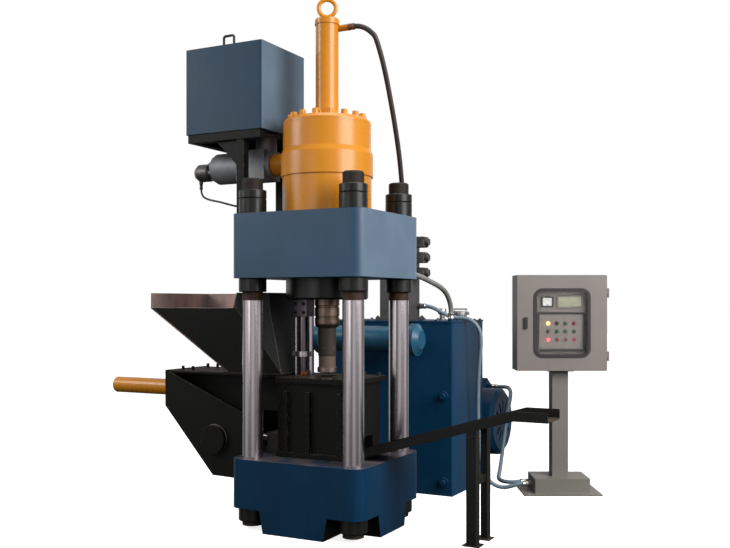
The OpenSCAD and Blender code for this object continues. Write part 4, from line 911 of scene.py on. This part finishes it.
class CHIP_PRESS_OT_bolts(PressOperator):
    """Set the bolts of flanges, plates and covers"""
    bl_idname = "chip_press.bolts"
    bl_label = "Bolts"

    def execute(self, context):
        sizes = press_sizes()
        self.die_and_feeder(sizes)
        self.tank_lid(sizes)
        self.oil_unit(sizes)
        self.frame_and_stand(sizes)
        return {"FINISHED"}

    def die_and_feeder(self, sizes):
        low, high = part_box("table_plate")
        inset = 0.035
        xs = (-0.10, 0.06, 0.18, high.x - inset)
        ys = (low.y + inset, high.y - inset)
        places = grid_places(xs, ys, (high.z,), UP)
        bolt_group("table_bolts", places, sizes.large_bolt, "nut_black")
        low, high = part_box("feed_cylinder")
        flange_x = -1.236
        bolt_circle = 0.075
        centre = Vector((flange_x, 0, (low.z + high.z) / 2))
        places = ring_places(centre, LEFT, bolt_circle, 6)
        bolt_group("feed_flange_bolts", places, sizes.small_bolt, "nut_black")

    def tank_lid(self, sizes):
        """Bolts along the lid's edges, clear of the manifold's foot and of the return hose."""
        low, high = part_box("oil_tank")
        lid_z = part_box("filler_cap")[0].z
        lid_depth = 0.712
        edge = 0.026
        x0, x1 = low.x + edge, high.x - edge
        y0, y1 = high.y - lid_depth + edge, high.y - edge
        along = [x0 + (x1 - x0) * k / 9 for k in range(10)]
        across = [y0 + (y1 - y0) * k / 5 for k in range(1, 5)]
        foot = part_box("valve_manifold")[0].x
        foot_width = 0.31
        room = 0.02
        hose_room = 0.06
        *_, hose_points = ROUTES["return_hose"]
        hose = Vector(hose_points[-1])

        def clear(point):
            at_foot = point.y < y0 + room and foot - room < point.x < foot + foot_width + room
            return not at_foot and (point - hose).xy.length >= hose_room

        places = grid_places(along, (y0, y1), (lid_z,), UP) + grid_places((x0, x1), across, (lid_z,), UP)
        places = [(point, axis) for point, axis in places if clear(point)]
        bolt_group("tank_lid_bolts", places, sizes.small_bolt, "unit_blue")

    def oil_unit(self, sizes):
        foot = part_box("valve_manifold")[0]
        foot_height = 0.028
        hole_xs, hole_ys = (0.015, 0.295), (0.012, 0.274)
        places = [(foot + point, axis) for point, axis in grid_places(hole_xs, hole_ys, (foot_height,), UP)]
        bolt_group("manifold_bolts", places, sizes.small_bolt, "nut_black")
        screw = 0.014
        flange_depth = 0.024
        bolt_circle = 0.172
        shaft = Vector(joint("motor_spin")["pos_m"])
        centre = Vector((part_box("oil_pump")[1].x - flange_depth, shaft.y, shaft.z))
        bolt_group("pump_flange_bolts", ring_places(centre, LEFT, bolt_circle, 8), screw, "nut_black")
        low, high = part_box("fan_cover")
        rim_x = low.x + 0.02
        rim_radius = 0.29
        middle = Vector((rim_x, (low.y + high.y) / 2, (low.z + high.z) / 2))
        turns = (math.pi / 4 + k * math.pi / 2 for k in range(4))
        ways = [Vector((0, math.cos(a), math.sin(a))) for a in turns]
        places = [(middle + way * rim_radius, way) for way in ways]
        bolt_group("cowl_screws", places, screw, "nut_black", height=0.4)

    def frame_and_stand(self, sizes):
        post_heights = (1.95, 2.06)
        places = grid_places((POST_FACE,), POST_MIDDLES, post_heights, LEFT)
        bolt_group("post_bolts", places, sizes.large_bolt, "nut_black")
        bracket_face = -0.524
        bracket_ys = (-0.17, -0.06, 0.06, 0.17)
        bracket_heights = (0.335, 0.428)
        places = grid_places((bracket_face,), bracket_ys, bracket_heights, LEFT)
        bolt_group("bracket_bolts", places, sizes.large_bolt, "nut_black")
        stand = cabinet_frame()
        floor_plate = 0.012
        hole_xs, hole_ys = (-0.27, 0.27), (-0.035, 0.325)
        places = [(stand @ point, axis) for point, axis in grid_places(hole_xs, hole_ys, (floor_plate,), UP)]
        bolt_group("stand_bolts", places, sizes.small_bolt, "filler_steel")
        low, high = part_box("hold_down_post")
        head_xs = (-0.222, -0.158)
        head_heights = (high.z - 0.09, high.z - 0.03)
        places = grid_places(head_xs, (low.y,), head_heights, FRONT)
        bolt_group("strut_head_bolts", places, sizes.small_bolt, "nut_black")


class CHIP_PRESS_OT_welds(PressOperator):
    """Lay the weld beads of the hopper, bracket, tank frame and chute"""
    bl_idname = "chip_press.welds"
    bl_label = "Weld beads"

    def execute(self, context):
        self.bead("hopper_welds", self.hopper_lines(), "hopper_sheet")
        # The beads round the bosses take the light grey casting finish: real weld beads, and a painted
        # highlight on the bosses' rims
        self.bead("boss_welds", self.boss_rings(), "frame_black", cyclic=True,
                  finish=FINISHES["pilot_grey"])
        self.bead("post_welds", self.post_lines(), "frame_black")
        leg_y = 0.135
        near_x, near_z = 1.077, 0.672
        far_x, far_z = 1.143, 0.692
        legs = [[(near_x, y, near_z), (far_x, y, far_z)] for y in (-leg_y, leg_y)]
        self.bead("leg_welds", legs, "chute_sheet")
        return {"FINISHED"}

    def bead(self, name, lines, slot, cyclic=False, finish=None):
        tube(name, lines, slot, press_sizes().bead, pitch=0.009, rib=0.16, uneven=0.12, sides=8,
             cyclic=cyclic, finish=finish)

    def hopper_lines(self):
        """The outer corners down to the throat, the rim along one side, and the outer lip."""
        low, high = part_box("hopper")
        lip = high.z - 0.106
        half = 0.339
        throat_x, throat_half = -0.74, 0.14
        corner_x = -0.53
        cut_x, cut_y = -0.345, 0.2
        lines = [[(low.x, side * half, lip), (throat_x, side * throat_half, low.z)] for side in (-1, 1)]
        lines.append([(low.x, half, lip), (corner_x, half, lip), (cut_x, cut_y, lip)])
        lines.append([(low.x, -half, lip), (low.x, half, lip)])
        return lines

    def boss_rings(self):
        """Round the trunnion bosses, on the outer faces of the bracket's plates."""
        face = 0.25
        boss_x, boss_z = -0.77, 0.566
        boss_radius = 0.1
        ring = round_points(boss_radius, 40)
        return [[(boss_x + x, y, boss_z + z) for x, z in ring] for y in (-face, face)]

    def post_lines(self):
        """Where the tank frame's posts, gussets and top plate meet."""
        plate_z = 2.665
        half = 0.03
        post_back = -0.504
        gusset = 0.005
        gusset_foot, gusset_top = 2.475, 2.66
        gusset_front, gusset_back = -0.754, -0.57
        lines = []
        for y in POST_MIDDLES:
            lines += [[(POST_FACE, y + side, plate_z), (post_back, y + side, plate_z)]
                      for side in (-half, half)]
            lines.append([(POST_FACE, y - gusset, gusset_foot), (POST_FACE, y - gusset, gusset_top)])
            lines.append([(gusset_front, y - gusset, plate_z), (gusset_back, y - gusset, plate_z)])
        return lines


# Turned shapes, as pairs of radius and height in metres; a ferrule's radii are past its hose's own
FERRULE = ((0.0004, 0), (0.006, 0), (0.006, 0.006), (0.004, 0.010), (0.004, 0.030), (0.0055, 0.034),
           (0.0055, 0.040), (0.002, 0.044), (0.0004, 0.044))
BREATHER = ((0.034, 0), (0.034, 0.008), (0.022, 0.012), (0.022, 0.045), (0.033, 0.050), (0.036, 0.056),
            (0.036, 0.088), (0.031, 0.096), (0, 0.098))
NEEDLE_HUB = ((0.005, 0), (0.005, 0.003), (0.003, 0.004), (0, 0.004))
LENS = ((0.0165, 0), (0.0165, 0.003), (0.0128, 0.004), (0.0128, 0.008), (0.0115, 0.0105),
        (0.008, 0.0125), (0.004, 0.0134), (0, 0.0136))


class CHIP_PRESS_OT_fittings(PressOperator):
    """Turn the hose ferrules and the breather, and bend the tank's bail"""
    bl_idname = "chip_press.fittings"
    bl_label = "Fittings"

    def execute(self, context):
        plated = FINISHES["filler_steel"]
        finishes = {"quick_hose": moulded("red_brown_coupling", paint_tone(110, 58, 40), rough=(0.35, 0.5)),
                    "pilot_cable": FINISHES["cable_black"]}
        for name, (width, *_, points) in ROUTES.items():
            self.ferrules(name + "_ferrules", width / 2, points, finishes.get(name, plated))
        breather_x, breather_y = 0.19, 1.62
        place = Matrix.Translation((breather_x, breather_y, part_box("filler_cap")[0].z))
        fit("breather", lathe, (BREATHER,), place, plated)
        self.bail()
        return {"FINISHED"}

    def ferrules(self, name, radius, points, finish):
        profile = [(radius + past, height) for past, height in FERRULE]
        bm = bmesh.new()
        for end, inner in ((points[0], points[1]), (points[-1], points[-2])):
            way = Vector(inner) - Vector(end)
            lathe(bm, profile, Matrix.Translation(end) @ way.to_track_quat("Z", "Y").to_matrix().to_4x4())
        settle(name, as_mesh(name, bm), finish)

    def bail(self):
        """The bent bar to lift the prefill tank by, at the front edge of its lid."""
        low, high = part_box("prefill_tank")
        lid = high.z - 0.062
        middle = low.x + 0.53 * (high.x - low.x)
        half, rise, bend = 0.043, 0.074, 0.016
        bar = 0.009
        y = low.y + 0.05
        top = lid + rise - bend
        quarter = [math.pi / 2 * k / 6 for k in range(7)]
        line = [(middle - half, y, lid), (middle - half, y, top)]
        for centre, start in ((middle - half + bend, math.pi), (middle + half - bend, math.pi / 2)):
            line += [(centre + bend * math.cos(start - a), y, top + bend * math.sin(start - a))
                     for a in quarter]
        line.append((middle + half, y, lid))
        tube("tank_bail", [line], "nut_black", bar, pitch=0.006)


# Cabinet front, in the cabinet's frame, in metres: instruments, top row of keys and their pitch
METER_X = -0.11
DISPLAY_X = 0.07
METER_Z = 1.535
KEY_Z = 1.362
KEY_PITCH_X = 0.069
KEY_PITCH_Z = 0.065
# Depths from the latch inwards
METER_DEPTH = 0.035
FIELD_DEPTH = 0.037
LAMP_DEPTH = 0.0408
MARK_DEPTH = 0.0412
PANE_DEPTH = 0.043
# Frames: width, height, band, depth and corner radius
KEY_FRAME = (0.386, 0.312, 0.018, 0.004, 0.011)
METER_FRAME = (0.094, 0.086, 0.011, 0.003, 0.006)
DISPLAY_FRAME = (0.208, 0.102, 0.012, 0.003, 0.006)
# Panes: width, height, depth and corner radius
DIAL_PANE = (0.075, 0.067, 0.0015, 0.003)
DISPLAY_PANE = (0.185, 0.079, 0.0015, 0.003)


class CHIP_PRESS_OT_cabinet_front(PressOperator):
    """Fit the meter, display, key frame and lamp lenses behind the cabinet's window"""
    bl_idname = "chip_press.cabinet_front"
    bl_label = "Cabinet front"

    def execute(self, context):
        black, light = FINISHES["latch_black"], FINISHES["panel_white"]
        card = moulded("dial_card", paint_tone(206, 206, 204))
        film = moulded("display_film", paint_tone(142, 140, 122), rough=(0.12, 0.25))
        keys = on_panel(0, FIELD_DEPTH, KEY_Z - KEY_PITCH_Z)
        meter = on_panel(METER_X, METER_DEPTH, METER_Z)
        dial = on_panel(METER_X, PANE_DEPTH, METER_Z)
        pivot = on_panel(METER_X, MARK_DEPTH, METER_Z - 0.024)
        display = on_panel(DISPLAY_X, FIELD_DEPTH, METER_Z)
        pane = on_panel(DISPLAY_X, PANE_DEPTH, METER_Z)
        fit("key_frame", bezel, KEY_FRAME, keys, black)
        fit("meter_bezel", bezel, METER_FRAME, meter, black)
        fit("meter_dial", plate, DIAL_PANE, dial, card)
        fit("meter_marks", self.marks, (), pivot, black)
        fit("display_bezel", bezel, DISPLAY_FRAME, display, light)
        fit("display_pane", plate, DISPLAY_PANE, pane, film)
        self.lenses()
        return {"FINISHED"}

    def marks(self, bm, pivot):
        """The dial's scale, the needle and its hub."""
        thick, corner, edge = 0.0006, 0.0003, 0.0002
        tick, long_tick, short_tick = 0.0014, 0.007, 0.004
        needle_width, needle_length = 0.0012, 0.042
        first, step, reading = 45, 9, 38

        def turned(degrees, reach, rise=0):
            turn = Matrix.Rotation(math.radians(degrees), 4, "Z")
            return pivot @ turn @ Matrix.Translation((0, reach, rise))

        for k in range(11):
            length = long_tick if k % 5 == 0 else short_tick
            plate(bm, tick, length, thick, corner, turned(first - step * k, 0.040), edge)
        plate(bm, needle_width, needle_length, thick, corner, turned(reading, 0.019, 0.0008), edge)
        lathe(bm, NEEDLE_HUB, pivot, 20)

    def lenses(self):
        clear = (0.12, 0.25)
        shades = {"lit": moulded("lens_amber_lit", paint_tone(255, 170, 110), glow=3.0,
                                 glow_colour=paint_tone(255, 150, 90)),
                  "red": moulded("lens_red", paint_tone(120, 44, 52), rough=clear),
                  "green": moulded("lens_green", paint_tone(44, 78, 62), rough=clear),
                  "dark": moulded("lens_dark", paint_tone(58, 52, 44), rough=clear)}
        rows = (("lit", "dark", "dark", "red"), ("dark", "green", "green", "green"))
        for row, names in enumerate(rows):
            for column, shade in enumerate(names):
                place = on_panel((column - 1.5) * KEY_PITCH_X, LAMP_DEPTH, KEY_Z - row * KEY_PITCH_Z)
                name = "lens_%d_%d" % (row + 1, column + 1)
                fit(name, lathe, (LENS,), place, shades[shade])


# Place in metres, width in metres and power in watts of each lamp, and where all of them point
LAMPS = {
    "key": ((6.5, -1.2, 4.6), 4.6, 690),
    "left": ((-5.0, -3.5, 4.4), 2.4, 170),
    "front": ((-1.0, -7.5, 2.4), 3.0, 60),
    "top": ((0.5, 0.5, 7.5), 3.5, 150),
}
LAMP_AIM = Vector((0, 0.4, 1.4))


class CHIP_PRESS_OT_stage(PressOperator):
    """Set the floor, the lights and the camera"""
    bl_idname = "chip_press.stage"
    bl_label = "Stage"

    def execute(self, context):
        stage = context.scene.chip_press_stage
        self.floor(stage)
        self.world()
        for name, (place, size, power) in LAMPS.items():
            self.lamp(name, place, size, power)
        self.camera(context, stage)
        context.scene.view_settings.view_transform = "Standard"
        return {"FINISHED"}

    def camera(self, context, stage):
        eye = bpy.data.cameras.new("eye")
        eye.sensor_width = 36
        eye.lens = stage.lens
        eye.shift_y = stage.horizon
        eye.clip_end = 100
        camera = bpy.data.objects.new("eye", eye)
        camera.location = stage.eye
        camera.rotation_euler = (math.pi / 2, 0, stage.turn)
        context.collection.objects.link(camera)
        context.scene.camera = camera

    def floor(self, stage):
        half = 40
        mesh = bpy.data.meshes.new("floor")
        corners = [(-half, -half, 0), (half, -half, 0), (half, half, 0), (-half, half, 0)]
        mesh.from_pydata(corners, [], [(0, 1, 2, 3)])
        floor = bpy.data.objects.new("floor", mesh)
        bpy.context.collection.objects.link(floor)
        f = Finish("pale_floor")
        f.set(Base_Color=f.blend(f.noise(0.8), stage.pale, shaded(stage.pale, 0.97)), Roughness=0.8)
        lift = f.add("ShaderNodeEmission", {"Strength": 0.8})[0]
        both = f.add("ShaderNodeAddShader", {0: f.shader.outputs[0], 1: lift})[0]
        f.tree.links.new(both, f.tree.nodes["Material Output"].inputs[0])
        mesh.materials.append(f.material)
        floor.visible_diffuse = False
        floor.visible_glossy = False

    def world(self):
        """White behind the machine; round it a hall with bright and dark bays and a dim ground."""
        world = bpy.data.worlds.new("studio")
        world.use_nodes = True
        bpy.context.scene.world = world
        tree = world.node_tree
        way = wire_up(tree, "ShaderNodeTexCoord", {})["Generated"]
        x, y, z = wire_up(tree, "ShaderNodeSeparateXYZ", {0: way})
        turn = worked_out(tree, "ARCTAN2", y, x)
        bays = worked_out(tree, "SINE", multiplied(tree, turn, 5.0))
        bays = spanned(tree, bays, -0.4, 0.7, 0.13, 0.45)
        ground = spanned(tree, z, -0.3, 0.0, 0.06, 1.0)
        paths = wire_up(tree, "ShaderNodeLightPath", {})
        mirror = spanned(tree, paths["Is Glossy Ray"], 0.0, 1.0, 1.0, 2.2)
        hall = multiplied(tree, bays, ground, mirror)
        strength = wire_up(tree, "ShaderNodeMix", {0: paths["Is Camera Ray"], 2: hall, 3: 1.0})[0]
        background = tree.nodes["Background"].inputs
        tree.links.new(strength, background["Strength"])
        background["Color"].default_value = (1, 1, 1, 1)

    def lamp(self, name, place, size, power):
        light = bpy.data.lights.new(name, "AREA")
        light.size = size
        light.energy = power
        lamp = bpy.data.objects.new(name, light)
        lamp.location = place
        lamp.rotation_euler = (LAMP_AIM - Vector(place)).to_track_quat("-Z", "Y").to_euler()
        bpy.context.collection.objects.link(lamp)


class CHIP_PRESS_PT_panel(bpy.types.Panel):
    """Lists the press's steps"""
    bl_label = "Chip press"
    bl_idname = "CHIP_PRESS_PT_panel"
    bl_space_type = "VIEW_3D"
    bl_region_type = "UI"
    bl_category = "Press"

    def draw(self, context):
        for step in STEPS:
            self.layout.operator(step.bl_idname)


GROUPS = {
    "chip_press_colours": PressColours,
    "chip_press_sizes": PressSizes,
    "chip_press_stage": PressStage,
}
STEPS = (
    CHIP_PRESS_OT_finishes,
    CHIP_PRESS_OT_stage,
    CHIP_PRESS_OT_hoses,
    CHIP_PRESS_OT_threads,
    CHIP_PRESS_OT_bolts,
    CHIP_PRESS_OT_welds,
    CHIP_PRESS_OT_fittings,
    CHIP_PRESS_OT_cabinet_front,
)
CLASSES = (*GROUPS.values(), *STEPS, CHIP_PRESS_PT_panel)


def register():
    for made in CLASSES:
        bpy.utils.register_class(made)
    for name, group in GROUPS.items():
        setattr(bpy.types.Scene, name, bpy.props.PointerProperty(type=group))


def unregister():
    for name in GROUPS:
        delattr(bpy.types.Scene, name)
    for made in reversed(CLASSES):
        bpy.utils.unregister_class(made)


def main():
    register()
    for step in STEPS:
        family, name = step.bl_idname.split(".")
        getattr(getattr(bpy.ops, family), name)()


if __name__ == "__main__":
    main()
